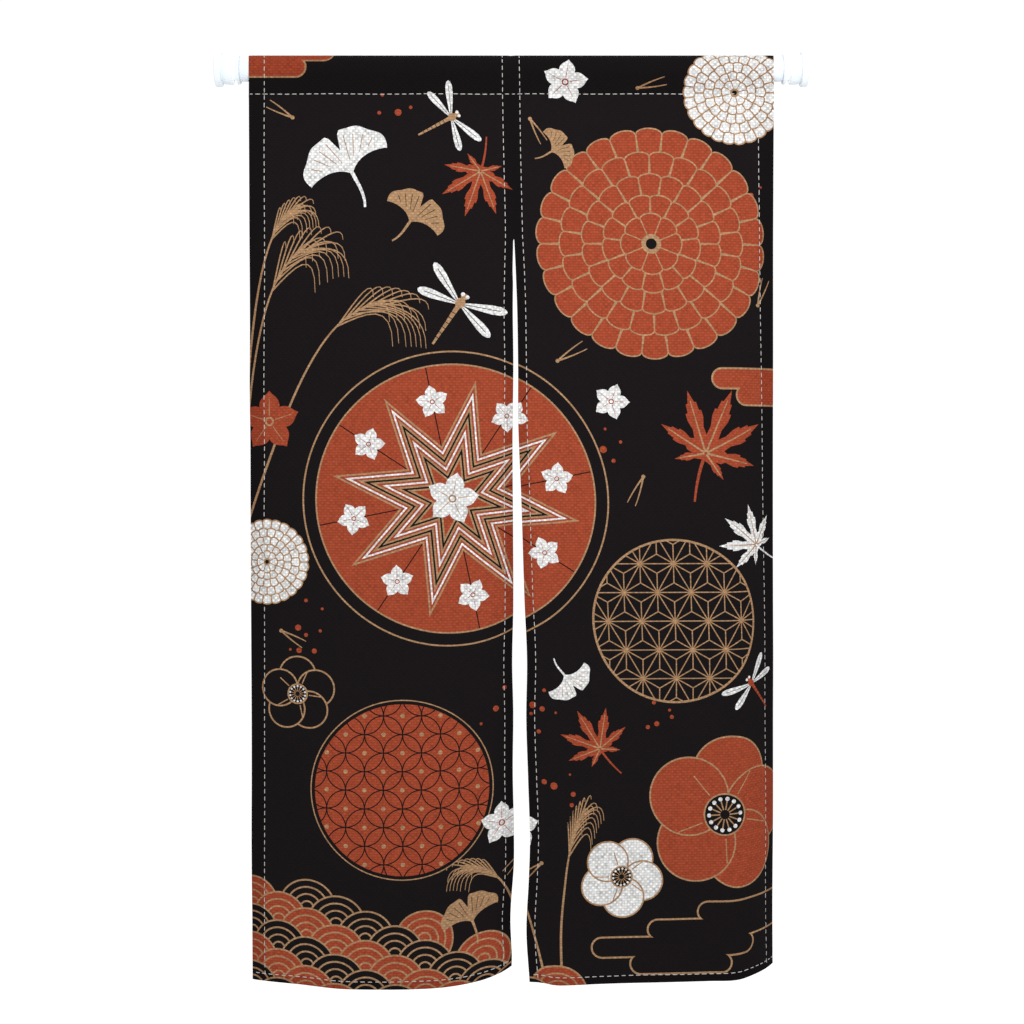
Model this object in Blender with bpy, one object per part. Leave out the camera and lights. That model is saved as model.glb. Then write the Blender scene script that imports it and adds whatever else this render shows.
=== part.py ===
"""A noren: two printed cloth panels, sewn together at the top, hung by their pocket on a white tension rod.

Metres, +Z up. The origin is the middle of the rod's axis, the rod runs along X, and the printed
face looks towards -Y. A drop is measured down from the top of the cloth. A place across a panel
runs from 0 at its left edge to 1 at its right edge, and a depth is measured back from the rod's axis.
"""

import math
from typing import NamedTuple

import bmesh
import bpy
import numpy as np
from mathutils import Matrix, Vector


class TurnedSection(NamedTuple):
    along: float
    radius: float


class OuterEdge(NamedTuple):
    drop: float
    x: float


class SlitEdge(NamedTuple):
    drop: float
    x: float
    depth: float


class Fold(NamedTuple):
    place: float
    turn: float
    lift: float


class Growth(NamedTuple):
    drop: float
    share: float


class Panel(NamedTuple):
    name: str
    slit_on_right: bool
    outer: list
    slit: list
    folds: list


# Tension rod
ROD_RADIUS = 0.0200
ROD_SIDES = 32
TUBE_HALF_LENGTH = 0.4382
FITTING_GAP = 0.0003

# The end cap from the tube's end outwards: collar, neck, bell and foot
ROD_END = [
    TurnedSection(along=0.0000, radius=0.0228),
    TurnedSection(along=0.0008, radius=0.0243),
    TurnedSection(along=0.0042, radius=0.0243),
    TurnedSection(along=0.0050, radius=0.0228),
    TurnedSection(along=0.0054, radius=0.0175),
    TurnedSection(along=0.0104, radius=0.0175),
    TurnedSection(along=0.0110, radius=0.0232),
    TurnedSection(along=0.0126, radius=0.0247),
    TurnedSection(along=0.0165, radius=0.0250),
    TurnedSection(along=0.0230, radius=0.0242),
    TurnedSection(along=0.0290, radius=0.0226),
    TurnedSection(along=0.0296, radius=0.0272),
    TurnedSection(along=0.0306, radius=0.0283),
    TurnedSection(along=0.0388, radius=0.0283),
    TurnedSection(along=0.0400, radius=0.0272),
]

# Cloth
CLOTH_THICKNESS = 0.0012
HEM_LAYER = 0.0010
OUTER_HEM = 0.0250
SLIT_HEM = 0.0140
BOTTOM_HEM = 0.0125
LAYER_STEP = 0.0010
PANEL_WIDTH = 0.4260
POCKET_DROP = 0.0600
POCKET_EDGE = 0.0060
HEM_DROP = 1.5090
LIFT_POWER = 3

# The seam that joins the panels, from the top of the cloth to the head of the slit
SEAM_FOOT_DROP = 0.2960
SEAM_TOP_X = -0.0016
SEAM_FOOT_X = 0.0042
SEAM_FOOT_DEPTH = 0.0040

# How far each fold has grown at a drop, as a share of its turn at the hem
FOLD_GROWTH = [
    Growth(drop=POCKET_DROP, share=0.00),
    Growth(drop=0.20, share=0.20),
    Growth(drop=0.49, share=0.53),
    Growth(drop=0.88, share=0.80),
    Growth(drop=1.30, share=0.92),
    Growth(drop=HEM_DROP, share=1.00),
]

# A fold's turn is the sheet's heading in plan at the hem, in degrees, positive where it goes back
# towards +X. Its lift is how far the hem's edge stands above the lowest point of the curtain.
LEFT_PANEL = Panel(
    name="panel_left",
    slit_on_right=True,
    outer=[
        OuterEdge(drop=0.000, x=-0.4252),
        OuterEdge(drop=0.240, x=-0.4250),
        OuterEdge(drop=0.430, x=-0.4240),
        OuterEdge(drop=0.720, x=-0.4243),
        OuterEdge(drop=0.960, x=-0.4236),
        OuterEdge(drop=1.370, x=-0.4232),
        OuterEdge(drop=HEM_DROP, x=-0.4224),
    ],
    slit=[
        SlitEdge(drop=SEAM_FOOT_DROP, x=SEAM_FOOT_X, depth=SEAM_FOOT_DEPTH),
        SlitEdge(drop=0.400, x=0.0024, depth=0.0072),
        SlitEdge(drop=0.500, x=0.0033, depth=0.0092),
        SlitEdge(drop=0.622, x=0.0020, depth=0.0110),
        SlitEdge(drop=0.780, x=0.0029, depth=0.0132),
        SlitEdge(drop=0.990, x=0.0010, depth=0.0180),
        SlitEdge(drop=1.076, x=0.0032, depth=0.0172),
        SlitEdge(drop=1.173, x=0.0024, depth=0.0180),
        SlitEdge(drop=1.275, x=0.0043, depth=0.0176),
        SlitEdge(drop=1.335, x=0.0024, depth=0.0206),
        SlitEdge(drop=1.400, x=-0.0021, depth=0.0250),
        SlitEdge(drop=1.465, x=0.0010, depth=0.0236),
        SlitEdge(drop=HEM_DROP, x=0.0016, depth=0.0226),
    ],
    folds=[
        Fold(place=0.00, turn=-36, lift=0.0080),
        Fold(place=0.08, turn=-21, lift=0.0082),
        Fold(place=0.20, turn=-10, lift=0.0066),
        Fold(place=0.35, turn=-4, lift=0.0012),
        Fold(place=0.50, turn=0, lift=0.0004),
        Fold(place=0.62, turn=3, lift=0.0006),
        Fold(place=0.75, turn=8, lift=0.0030),
        Fold(place=0.88, turn=15, lift=0.0120),
        Fold(place=1.00, turn=22, lift=0.0300),
    ],
)
RIGHT_PANEL = Panel(
    name="panel_right",
    slit_on_right=False,
    outer=[
        OuterEdge(drop=0.000, x=0.4238),
        OuterEdge(drop=0.300, x=0.4270),
        OuterEdge(drop=0.490, x=0.4287),
        OuterEdge(drop=0.720, x=0.4296),
        OuterEdge(drop=0.960, x=0.4308),
        OuterEdge(drop=1.160, x=0.4308),
        OuterEdge(drop=1.370, x=0.4304),
        OuterEdge(drop=HEM_DROP, x=0.4310),
    ],
    slit=[
        SlitEdge(drop=SEAM_FOOT_DROP, x=SEAM_FOOT_X, depth=SEAM_FOOT_DEPTH),
        SlitEdge(drop=0.400, x=0.0090, depth=0.0030),
        SlitEdge(drop=0.500, x=0.0107, depth=0.0018),
        SlitEdge(drop=0.600, x=0.0112, depth=0.0010),
        SlitEdge(drop=0.720, x=0.0160, depth=-0.0010),
        SlitEdge(drop=0.880, x=0.0210, depth=-0.0024),
        SlitEdge(drop=0.980, x=0.0252, depth=-0.0042),
        SlitEdge(drop=1.076, x=0.0240, depth=-0.0030),
        SlitEdge(drop=1.173, x=0.0269, depth=-0.0046),
        SlitEdge(drop=1.275, x=0.0298, depth=-0.0064),
        SlitEdge(drop=1.340, x=0.0280, depth=-0.0048),
        SlitEdge(drop=1.425, x=0.0242, depth=-0.0034),
        SlitEdge(drop=HEM_DROP, x=0.0292, depth=-0.0070),
    ],
    folds=[
        Fold(place=0.00, turn=-13, lift=0.0134),
        Fold(place=0.12, turn=-4, lift=0.0088),
        Fold(place=0.26, turn=3, lift=0.0105),
        Fold(place=0.50, turn=1, lift=0.0122),
        Fold(place=0.68, turn=3, lift=0.0138),
        Fold(place=0.78, turn=12, lift=0.0140),
        Fold(place=0.86, turn=38, lift=0.0195),
        Fold(place=0.93, turn=52, lift=0.0258),
        Fold(place=1.00, turn=62, lift=0.0278),
    ],
)

# Mesh resolution
PLAIN_COLUMNS = 21
PLAIN_ROWS = 33
POCKET_ARC_STEPS = 14
POCKET_ARC = math.radians(250)
FINE_PLACES = 201
SHARP_ANGLE = math.radians(35)

# Finishes: colour, roughness and metallic value
PRINTED_CLOTH = ("printed_cloth", (0.012, 0.010, 0.011, 1.0), 0.90, 0.0)
WHITE_TUBE = ("white_tube", (0.86, 0.86, 0.85, 1.0), 0.35, 0.0)
WHITE_CAP = ("white_cap", (0.88, 0.88, 0.87, 1.0), 0.45, 0.0)

# The pocket's flat steps clear the rod at their middles
POCKET_INNER_RADIUS = (ROD_RADIUS + FITTING_GAP) / math.cos(POCKET_ARC / 2 / POCKET_ARC_STEPS)
CLOTH_TOP = POCKET_INNER_RADIUS + CLOTH_THICKNESS


def curve_value(rows, column, place):
    """A column's value at a place, on the smooth curve through the rows. The first column is the place."""
    places = [row[0] for row in rows]
    values = [getattr(row, column) for row in rows]
    last = len(rows) - 1
    place = min(max(place, places[0]), places[last])
    right = next(i for i in range(1, last + 1) if place <= places[i])
    left = right - 1
    span = places[right] - places[left]
    share = (place - places[left]) / span

    def rise(i):
        before = max(i - 1, 0)
        after = min(i + 1, last)
        return (values[after] - values[before]) / (places[after] - places[before]) * span

    return (
        values[left] * (1 + 2 * share) * (1 - share) ** 2
        + rise(left) * share * (1 - share) ** 2
        + values[right] * (3 - 2 * share) * share**2
        - rise(right) * (1 - share) * share**2
    )


def slit_edge(panel, drop):
    """X and depth of the edge that a panel turns to the other one. Down to the slit it is the seam."""
    if drop < SEAM_FOOT_DROP:
        down_seam = drop / SEAM_FOOT_DROP
        x = SEAM_TOP_X + (SEAM_FOOT_X - SEAM_TOP_X) * down_seam
        depth = SEAM_FOOT_DEPTH * max(0.0, drop - POCKET_DROP) / (SEAM_FOOT_DROP - POCKET_DROP)
    else:
        x = curve_value(panel.slit, "x", drop)
        depth = curve_value(panel.slit, "depth", drop)
    towards_panel = -1 if panel.slit_on_right else 1
    return x + towards_panel * FITTING_GAP / 2, depth


def hanging_row(panel, drop, places):
    """Points of the printed face at one drop. The folds are a heading in plan, summed across the panel."""
    fine = np.linspace(0.0, 1.0, FINE_PLACES)
    growth = curve_value(FOLD_GROWTH, "share", drop)
    turns = np.radians([curve_value(panel.folds, "turn", place) for place in fine]) * growth
    step = 1.0 / (FINE_PLACES - 1)
    across = np.concatenate([[0.0], np.cumsum(np.cos((turns[1:] + turns[:-1]) / 2)) * step])
    back = np.concatenate([[0.0], np.cumsum(np.sin((turns[1:] + turns[:-1]) / 2)) * step]) * PANEL_WIDTH
    outer_x = curve_value(panel.outer, "x", drop)
    slit_x, slit_depth = slit_edge(panel, drop)
    if panel.slit_on_right:
        left_x, right_x, anchor = outer_x, slit_x, back[-1]
    else:
        left_x, right_x, anchor = slit_x, outer_x, 0.0
    xs = left_x + (right_x - left_x) * across / across[-1]
    ys = slit_depth - CLOTH_THICKNESS + back - anchor
    down = max(0.0, (drop - POCKET_DROP) / (HEM_DROP - POCKET_DROP))
    row = []
    for place in places:
        lift = curve_value(panel.folds, "lift", place) * down**LIFT_POWER
        row.append(Vector((np.interp(place, fine, xs), np.interp(place, fine, ys), CLOTH_TOP - drop + lift)))
    return row


def column_places(panel):
    """Places of the mesh's columns, with a close pair at the inner edge of each side hem."""
    hems = (OUTER_HEM, SLIT_HEM) if panel.slit_on_right else (SLIT_HEM, OUTER_HEM)
    left_hem = hems[0] / PANEL_WIDTH
    right_hem = 1 - hems[1] / PANEL_WIDTH
    half_step = LAYER_STEP / 2 / PANEL_WIDTH
    middle = np.linspace(left_hem + half_step, right_hem - half_step, PLAIN_COLUMNS)
    return [0.0, left_hem - half_step, *middle, right_hem + half_step, 1.0]


def row_drops():
    """Drops of the mesh's rows, with a close pair where the pocket's turned edge and the bottom hem end."""
    pocket_end = POCKET_DROP + POCKET_EDGE
    hem_start = HEM_DROP - BOTTOM_HEM
    middle = np.linspace(pocket_end + LAYER_STEP, hem_start - LAYER_STEP, PLAIN_ROWS)
    return [POCKET_DROP, pocket_end, *middle, hem_start, HEM_DROP]


def layers_behind(panel, place, drop):
    """Thickness that a turned-back edge adds behind the single cloth."""
    if drop <= POCKET_DROP + POCKET_EDGE:
        return CLOTH_THICKNESS
    hems = (OUTER_HEM, SLIT_HEM) if panel.slit_on_right else (SLIT_HEM, OUTER_HEM)
    in_side_hem = place * PANEL_WIDTH < hems[0] or (1 - place) * PANEL_WIDTH < hems[1]
    in_bottom_hem = drop >= HEM_DROP - BOTTOM_HEM
    return HEM_LAYER if in_side_hem or in_bottom_hem else 0.0


def pocket_loop():
    """(outer, inner) points in the YZ plane of the cloth round the rod, from the stitch line in front
    over the rod to the stitch line behind. The first and last ones, on the stitch line, are left out."""
    radius = POCKET_INNER_RADIUS + CLOTH_THICKNESS / 2
    stitch = Vector((-CLOTH_THICKNESS / 2, CLOTH_TOP - POCKET_DROP))
    start = math.atan2(stitch.y, stitch.x) - math.acos(radius / stitch.length)
    start %= 2 * math.pi
    end = math.pi - start
    outer = []
    inner = []
    for i in range(POCKET_ARC_STEPS + 1):
        angle = start + (end - start) * i / POCKET_ARC_STEPS
        outwards = Vector((math.cos(angle), math.sin(angle)))
        outer.append(outwards * (radius + CLOTH_THICKNESS / 2))
        inner.append(outwards * (radius - CLOTH_THICKNESS / 2))
    return outer, inner


def edge_xs(panel, drop):
    """X of a panel's left and right edges."""
    outer_x = curve_value(panel.outer, "x", drop)
    slit_x, _ = slit_edge(panel, drop)
    return (outer_x, slit_x) if panel.slit_on_right else (slit_x, outer_x)


def pocket_point(panel, place, point):
    """A point of the loop, at a place across the panel."""
    left_x, right_x = edge_xs(panel, CLOTH_TOP - point.y)
    return Vector((left_x + (right_x - left_x) * place, point.x, point.y))


def back_normals(front):
    """Unit normals of a grid of points, pointing behind the cloth."""
    grid = np.array([[tuple(point) for point in row] for row in front])
    down = np.gradient(grid, axis=0)
    across = np.gradient(grid, axis=1)
    normals = np.cross(across, down)
    return normals / np.linalg.norm(normals, axis=2, keepdims=True)


def add_skin(mesh, rings):
    """Faces between the closed rings of points of neighbouring columns."""
    for ring, following in zip(rings, rings[1:]):
        for a in range(len(ring)):
            b = (a + 1) % len(ring)
            mesh.faces.new((ring[a], ring[b], following[b], following[a]))


def add_panel_end(mesh, front, back, outer, inner, apex):
    """The cut face at one side of a panel: the sheet's edge, and the ring of the pocket above it."""
    for a in range(len(front) - 1):
        mesh.faces.new((front[a], front[a + 1], back[a + 1], back[a]))
    outside = [front[0], *outer, back[0]]
    inside = [apex, *inner, apex]
    mesh.faces.new((front[0], apex, back[0]))
    for a in range(len(outside) - 1):
        corners = (outside[a], outside[a + 1], inside[a + 1], inside[a])
        mesh.faces.new(corners)


def finish_object(mesh, name, finish):
    bmesh.ops.recalc_face_normals(mesh, faces=mesh.faces)
    data = bpy.data.meshes.new(name)
    mesh.to_mesh(data)
    mesh.free()
    data.shade_smooth()
    data.set_sharp_from_angle(angle=SHARP_ANGLE)
    data.materials.append(finish)
    piece = bpy.data.objects.new(name, data)
    bpy.context.collection.objects.link(piece)
    return piece


def add_panel(panel, finish):
    """One cloth panel as a single sheet: hemmed cloth below, its pocket round the rod above."""
    places = column_places(panel)
    drops = row_drops()
    front = [hanging_row(panel, drop, places) for drop in drops]
    normals = back_normals(front)
    loop_outer, loop_inner = pocket_loop()
    apex = Vector((0.0, CLOTH_TOP - POCKET_DROP + CLOTH_THICKNESS / 2))
    mesh = bmesh.new()
    columns = []
    for i, place in enumerate(places):
        front_verts = [mesh.verts.new(front[j][i]) for j in range(len(drops))]
        back_verts = []
        for j, drop in enumerate(drops):
            thickness = CLOTH_THICKNESS + layers_behind(panel, place, drop)
            back_verts.append(mesh.verts.new(front[j][i] + Vector(normals[j][i]) * thickness))
        outer_verts = [mesh.verts.new(pocket_point(panel, place, point)) for point in loop_outer]
        inner_verts = [mesh.verts.new(pocket_point(panel, place, point)) for point in loop_inner]
        apex_vert = mesh.verts.new(pocket_point(panel, place, apex))
        columns.append((front_verts, back_verts, outer_verts, inner_verts, apex_vert))
    add_skin(mesh, [[*f[::-1], *outer, *b] for f, b, outer, _, _ in columns])
    add_skin(mesh, [[tip, *inner] for _, _, _, inner, tip in columns])
    add_panel_end(mesh, *columns[0])
    add_panel_end(mesh, *columns[-1])
    return finish_object(mesh, panel.name, finish)


def add_tube(finish):
    mesh = bmesh.new()
    along_x = Matrix.Rotation(math.radians(90), 4, "Y")
    bmesh.ops.create_cone(
        mesh,
        cap_ends=True,
        segments=ROD_SIDES,
        radius1=ROD_RADIUS,
        radius2=ROD_RADIUS,
        depth=2 * TUBE_HALF_LENGTH,
        matrix=along_x,
    )
    return finish_object(mesh, "rod", finish)


def add_rod_end(name, direction, finish):
    """An end cap, turned about the rod's axis. Its direction is -1 on the left and 1 on the right."""
    mesh = bmesh.new()
    start = TUBE_HALF_LENGTH + FITTING_GAP
    profile = [TurnedSection(0.0, 0.0), *ROD_END, TurnedSection(ROD_END[-1].along, 0.0)]
    points = [mesh.verts.new((direction * (start + section.along), 0.0, section.radius)) for section in profile]
    edges = [mesh.edges.new(pair) for pair in zip(points, points[1:])]
    bmesh.ops.spin(
        mesh,
        geom=[*points, *edges],
        cent=(0.0, 0.0, 0.0),
        axis=(1.0, 0.0, 0.0),
        angle=2 * math.pi,
        steps=ROD_SIDES,
        use_merge=True,
    )
    bmesh.ops.remove_doubles(mesh, verts=mesh.verts, dist=1e-6)
    return finish_object(mesh, name, finish)


def add_finish(name, colour, roughness, metallic):
    material = bpy.data.materials.new(name)
    material.use_nodes = True
    shader = material.node_tree.nodes["Principled BSDF"]
    shader.inputs["Base Color"].default_value = colour
    shader.inputs["Roughness"].default_value = roughness
    shader.inputs["Metallic"].default_value = metallic
    material.diffuse_color = colour
    return material


def main():
    for old in list(bpy.data.objects):
        bpy.data.objects.remove(old)
    cloth = add_finish(*PRINTED_CLOTH)
    add_panel(LEFT_PANEL, cloth)
    add_panel(RIGHT_PANEL, cloth)
    add_tube(add_finish(*WHITE_TUBE))
    cap = add_finish(*WHITE_CAP)
    add_rod_end("rod_end_left", -1, cap)
    add_rod_end("rod_end_right", 1, cap)


main()
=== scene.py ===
"""A noren on its tension rod: two printed canvas panels with hems, stitches and a pocket, and the rod.

Metres, +Z up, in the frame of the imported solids. The origin is the middle of the rod's axis, the rod
runs along X, and the printed face looks towards -Y. A drop is measured down from the top of the
cloth. A fall is measured along the cloth, down its printed face from the top of the rod, and is
negative behind the rod. A place across a panel runs from 0 at its left edge to 1 at its right edge.
"""

import math
import random
from typing import NamedTuple

import bmesh
import bpy
import numpy as np
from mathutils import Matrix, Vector
from mathutils.geometry import delaunay_2d_cdt


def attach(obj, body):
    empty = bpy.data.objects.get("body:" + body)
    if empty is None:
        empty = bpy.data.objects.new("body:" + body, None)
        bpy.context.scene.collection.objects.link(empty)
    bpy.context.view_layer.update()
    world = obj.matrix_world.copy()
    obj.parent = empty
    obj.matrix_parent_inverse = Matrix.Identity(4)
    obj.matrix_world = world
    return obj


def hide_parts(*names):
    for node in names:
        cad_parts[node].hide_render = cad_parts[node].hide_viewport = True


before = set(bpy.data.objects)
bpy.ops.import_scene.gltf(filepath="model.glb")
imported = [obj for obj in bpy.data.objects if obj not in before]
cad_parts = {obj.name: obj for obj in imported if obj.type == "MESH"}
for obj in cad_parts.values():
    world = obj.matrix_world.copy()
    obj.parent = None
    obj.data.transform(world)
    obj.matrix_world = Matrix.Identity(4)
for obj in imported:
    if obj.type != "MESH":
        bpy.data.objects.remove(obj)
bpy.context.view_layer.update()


class TurnedSection(NamedTuple):
    along: float
    radius: float


class OuterEdge(NamedTuple):
    drop: float
    x: float


class SlitEdge(NamedTuple):
    drop: float
    x: float
    depth: float


class Fold(NamedTuple):
    place: float
    turn: float
    lift: float


class Growth(NamedTuple):
    drop: float
    share: float


class Crease(NamedTuple):
    across: float
    fall: float
    length: float
    width: float
    height: float
    lean: float


class Panel(NamedTuple):
    name: str
    side: str
    slit_on_right: bool
    mouth_pull: float
    outer: list
    slit: list
    folds: list
    creases: list

    @property
    def start(self):
        """The flat cloth's left edge, measured from the middle of the curtain."""
        return -PANEL_WIDTH if self.slit_on_right else 0.0

    @property
    def end(self):
        return self.start + PANEL_WIDTH

    @property
    def hems(self):
        """The widths of the hems down its left and its right edge."""
        return (OUTER_HEM, SLIT_HEM) if self.slit_on_right else (SLIT_HEM, OUTER_HEM)


# Tension rod
ROD_RADIUS = 0.0200
TUBE_HALF_LENGTH = 0.4382
FITTING_GAP = 0.0003
END_JOINT = 0.0001
TURNED_STEPS = 96
CORNER_ROUNDING = 0.0004
CORNER_SHARE = 0.4
CORNER_STEPS = (0.0, 0.25, 0.5, 0.75, 1.0)

# The end cap from the tube's end outwards: collar, neck, bell and foot. The values of a row stand in
# the order in which its class above names them, here and in the panels.
NECK_START = 0.0054
NECK_END = 0.0104
NECK_RADIUS = 0.0175
ROD_END = [
    TurnedSection(0.0000, 0.0228),
    TurnedSection(0.0008, 0.0243),
    TurnedSection(0.0042, 0.0243),
    TurnedSection(0.0050, 0.0228),
    TurnedSection(NECK_START, NECK_RADIUS),
    TurnedSection(NECK_END, NECK_RADIUS),
    TurnedSection(0.0110, 0.0232),
    TurnedSection(0.0126, 0.0247),
    TurnedSection(0.0165, 0.0250),
    TurnedSection(0.0230, 0.0242),
    TurnedSection(0.0290, 0.0226),
    TurnedSection(0.0296, 0.0272),
    TurnedSection(0.0306, 0.0283),
    TurnedSection(0.0388, 0.0283),
    TurnedSection(0.0400, 0.0272),
]

# Cloth
SOLID_THICKNESS = 0.0012
OUTER_HEM = 0.0250
SLIT_HEM = 0.0140
BOTTOM_HEM = 0.0125
PANEL_WIDTH = 0.4260
POCKET_DROP = 0.0600
POCKET_EDGE = 0.0060
HEM_DROP = 1.5090
LIFT_POWER = 3
POCKET_ARC_STEPS = 14
POCKET_ARC = math.radians(250)

# The canvas: one layer, the layer that a hem adds behind it, and how far that runs past its stitches
SHEET = 0.0007
HEM_LAYER = 0.0006
HEM_MARGIN = 0.0018
HEM_RAMP = 0.0006
HEM_PRESSED = 0.0045
PRESS_START = 0.0010
PRESS_FADE = 0.0020
TURNED_UNDER = 0.0050

# The seam that joins the panels, from the top of the cloth to the head of the slit
SEAM_FOOT_DROP = 0.2960
SEAM_TOP_X = -0.0016
SEAM_FOOT_X = 0.0042
SEAM_FOOT_DEPTH = 0.0040
SEAM_ROLL = 0.0003
SEAM_ROLL_WIDTH = 0.0014
SEAM_ROLL_FADE = 0.0060
SEAM_LAP = 0.00025
SEAM_LAP_END = 0.02

# Just below the seam the edges spring apart
MOUTH_REACH = 0.0060
MOUTH_RISE = 0.0030
MOUTH_FADE_START = 0.3420
MOUTH_FADE_END = 0.3720
MOUTH_STEP = 0.0010

# How far each fold has grown at a drop, as a share of its turn at the hem
FOLD_GROWTH = [
    Growth(POCKET_DROP, 0.00),
    Growth(0.20, 0.20),
    Growth(0.49, 0.53),
    Growth(0.88, 0.80),
    Growth(1.30, 0.92),
    Growth(HEM_DROP, 1.00),
]

# A fold's turn is the sheet's heading in plan at the hem, in degrees, positive where it goes back
# towards +X. Its lift is how far the hem's edge stands above the lowest point of the curtain. A
# crease is a soft ridge, or a trough where its height is negative, that leans to the right as it falls.
LEFT_PANEL = Panel(
    name="cloth_left",
    side="left",
    slit_on_right=True,
    mouth_pull=-0.0011,
    outer=[
        OuterEdge(0.000, -0.4252),
        OuterEdge(0.240, -0.4250),
        OuterEdge(0.430, -0.4248),
        OuterEdge(0.540, -0.4255),
        OuterEdge(0.620, -0.4247),
        OuterEdge(0.720, -0.4246),
        OuterEdge(0.960, -0.4243),
        OuterEdge(1.100, -0.4236),
        OuterEdge(1.370, -0.4240),
        OuterEdge(HEM_DROP, -0.4230),
    ],
    slit=[
        SlitEdge(SEAM_FOOT_DROP, SEAM_FOOT_X, SEAM_FOOT_DEPTH),
        SlitEdge(0.400, 0.0024, 0.0072),
        SlitEdge(0.500, 0.0033, 0.0092),
        SlitEdge(0.622, 0.0020, 0.0110),
        SlitEdge(0.780, 0.0029, 0.0132),
        SlitEdge(0.900, 0.0032, 0.0158),
        SlitEdge(0.990, 0.0014, 0.0178),
        SlitEdge(1.076, 0.0032, 0.0172),
        SlitEdge(1.173, 0.0024, 0.0180),
        SlitEdge(1.275, 0.0043, 0.0176),
        SlitEdge(1.335, 0.0041, 0.0206),
        SlitEdge(1.400, -0.0004, 0.0250),
        SlitEdge(1.432, -0.0014, 0.0246),
        SlitEdge(1.465, -0.0002, 0.0236),
        SlitEdge(1.492, 0.0010, 0.0232),
        SlitEdge(HEM_DROP, 0.0006, 0.0226),
    ],
    folds=[
        Fold(0.00, -36, 0.0080),
        Fold(0.08, -21, 0.0082),
        Fold(0.20, -10, 0.0066),
        Fold(0.35, -4, 0.0012),
        Fold(0.50, 0, 0.0004),
        Fold(0.62, 3, 0.0006),
        Fold(0.75, 8, 0.0030),
        Fold(0.88, 15, 0.0112),
        Fold(0.96, 19, 0.0220),
        Fold(1.00, 22, 0.0310),
    ],
    creases=[
        Crease(-0.362, 0.120, 0.050, 0.010, -0.0006, 0.02),
        Crease(-0.296, 0.112, 0.036, 0.008, 0.0005, -0.03),
        Crease(-0.205, 0.130, 0.060, 0.012, -0.0006, 0.05),
        Crease(-0.118, 0.115, 0.040, 0.009, 0.0005, 0.00),
        Crease(-0.052, 0.150, 0.090, 0.014, -0.0009, 0.08),
        Crease(-0.330, 0.620, 0.360, 0.032, -0.0013, -0.02),
        Crease(-0.212, 0.780, 0.420, 0.040, 0.0012, 0.03),
        Crease(-0.090, 1.040, 0.380, 0.028, -0.0014, 0.04),
        Crease(-0.034, 0.820, 0.240, 0.012, 0.0009, -0.02),
        Crease(-0.285, 1.330, 0.180, 0.024, -0.0012, -0.06),
        Crease(-0.150, 1.420, 0.120, 0.020, 0.0010, 0.05),
    ],
)
RIGHT_PANEL = Panel(
    name="cloth_right",
    side="right",
    slit_on_right=False,
    mouth_pull=0.0003,
    outer=[
        OuterEdge(0.000, 0.4244),
        OuterEdge(0.300, 0.4276),
        OuterEdge(0.490, 0.4293),
        OuterEdge(0.720, 0.4301),
        OuterEdge(0.960, 0.4312),
        OuterEdge(1.160, 0.4313),
        OuterEdge(1.370, 0.4309),
        OuterEdge(HEM_DROP, 0.4312),
    ],
    slit=[
        SlitEdge(SEAM_FOOT_DROP, SEAM_FOOT_X, SEAM_FOOT_DEPTH),
        SlitEdge(0.400, 0.0090, 0.0030),
        SlitEdge(0.500, 0.0107, 0.0018),
        SlitEdge(0.600, 0.0112, 0.0010),
        SlitEdge(0.720, 0.0160, -0.0010),
        SlitEdge(0.880, 0.0210, -0.0024),
        SlitEdge(0.980, 0.0252, -0.0042),
        SlitEdge(1.076, 0.0240, -0.0030),
        SlitEdge(1.173, 0.0269, -0.0046),
        SlitEdge(1.275, 0.0298, -0.0064),
        SlitEdge(1.340, 0.0280, -0.0048),
        SlitEdge(1.425, 0.0242, -0.0034),
        SlitEdge(HEM_DROP, 0.0292, -0.0070),
    ],
    folds=[
        Fold(0.00, -13, 0.0120),
        Fold(0.03, -11, 0.0121),
        Fold(0.055, -9, 0.0112),
        Fold(0.09, -6, 0.0086),
        Fold(0.12, -4, 0.0080),
        Fold(0.26, 3, 0.0105),
        Fold(0.50, 1, 0.0122),
        Fold(0.68, 3, 0.0138),
        Fold(0.78, 12, 0.0140),
        Fold(0.86, 38, 0.0199),
        Fold(0.93, 52, 0.0238),
        Fold(1.00, 62, 0.0276),
    ],
    creases=[
        Crease(0.058, 0.125, 0.055, 0.011, -0.0006, -0.04),
        Crease(0.140, 0.112, 0.038, 0.008, 0.0005, 0.02),
        Crease(0.232, 0.130, 0.060, 0.013, -0.0007, 0.00),
        Crease(0.318, 0.116, 0.042, 0.009, 0.0005, -0.02),
        Crease(0.372, 0.150, 0.080, 0.012, -0.0008, 0.03),
        Crease(0.060, 0.700, 0.330, 0.024, -0.0012, 0.02),
        Crease(0.158, 0.900, 0.450, 0.038, 0.0013, -0.03),
        Crease(0.262, 0.620, 0.400, 0.034, -0.0013, 0.04),
        Crease(0.344, 0.960, 0.420, 0.026, 0.0014, 0.02),
        Crease(0.110, 1.360, 0.160, 0.022, -0.0011, 0.06),
        Crease(0.226, 1.440, 0.110, 0.020, 0.0010, -0.05),
    ],
)

# The pocket's flat steps in the solids clear the rod at their middles
POCKET_INNER_RADIUS = (ROD_RADIUS + FITTING_GAP) / math.cos(POCKET_ARC / 2 / POCKET_ARC_STEPS)
CLOTH_TOP = POCKET_INNER_RADIUS + SOLID_THICKNESS
PROFILE_STEP = 0.0005
PROFILE_SOFTNESS = 0.0018
SOFTNESS_REACH = 4

# The pocket's stitches: their drop, and how far out from the rod's axis they lie on either side
POCKET_STITCH_DROP = 0.0620
FRONT_STITCH_OUT = SOLID_THICKNESS
BACK_STITCH_OUT = 2 * SHEET - SOLID_THICKNESS + 0.0001

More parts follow.
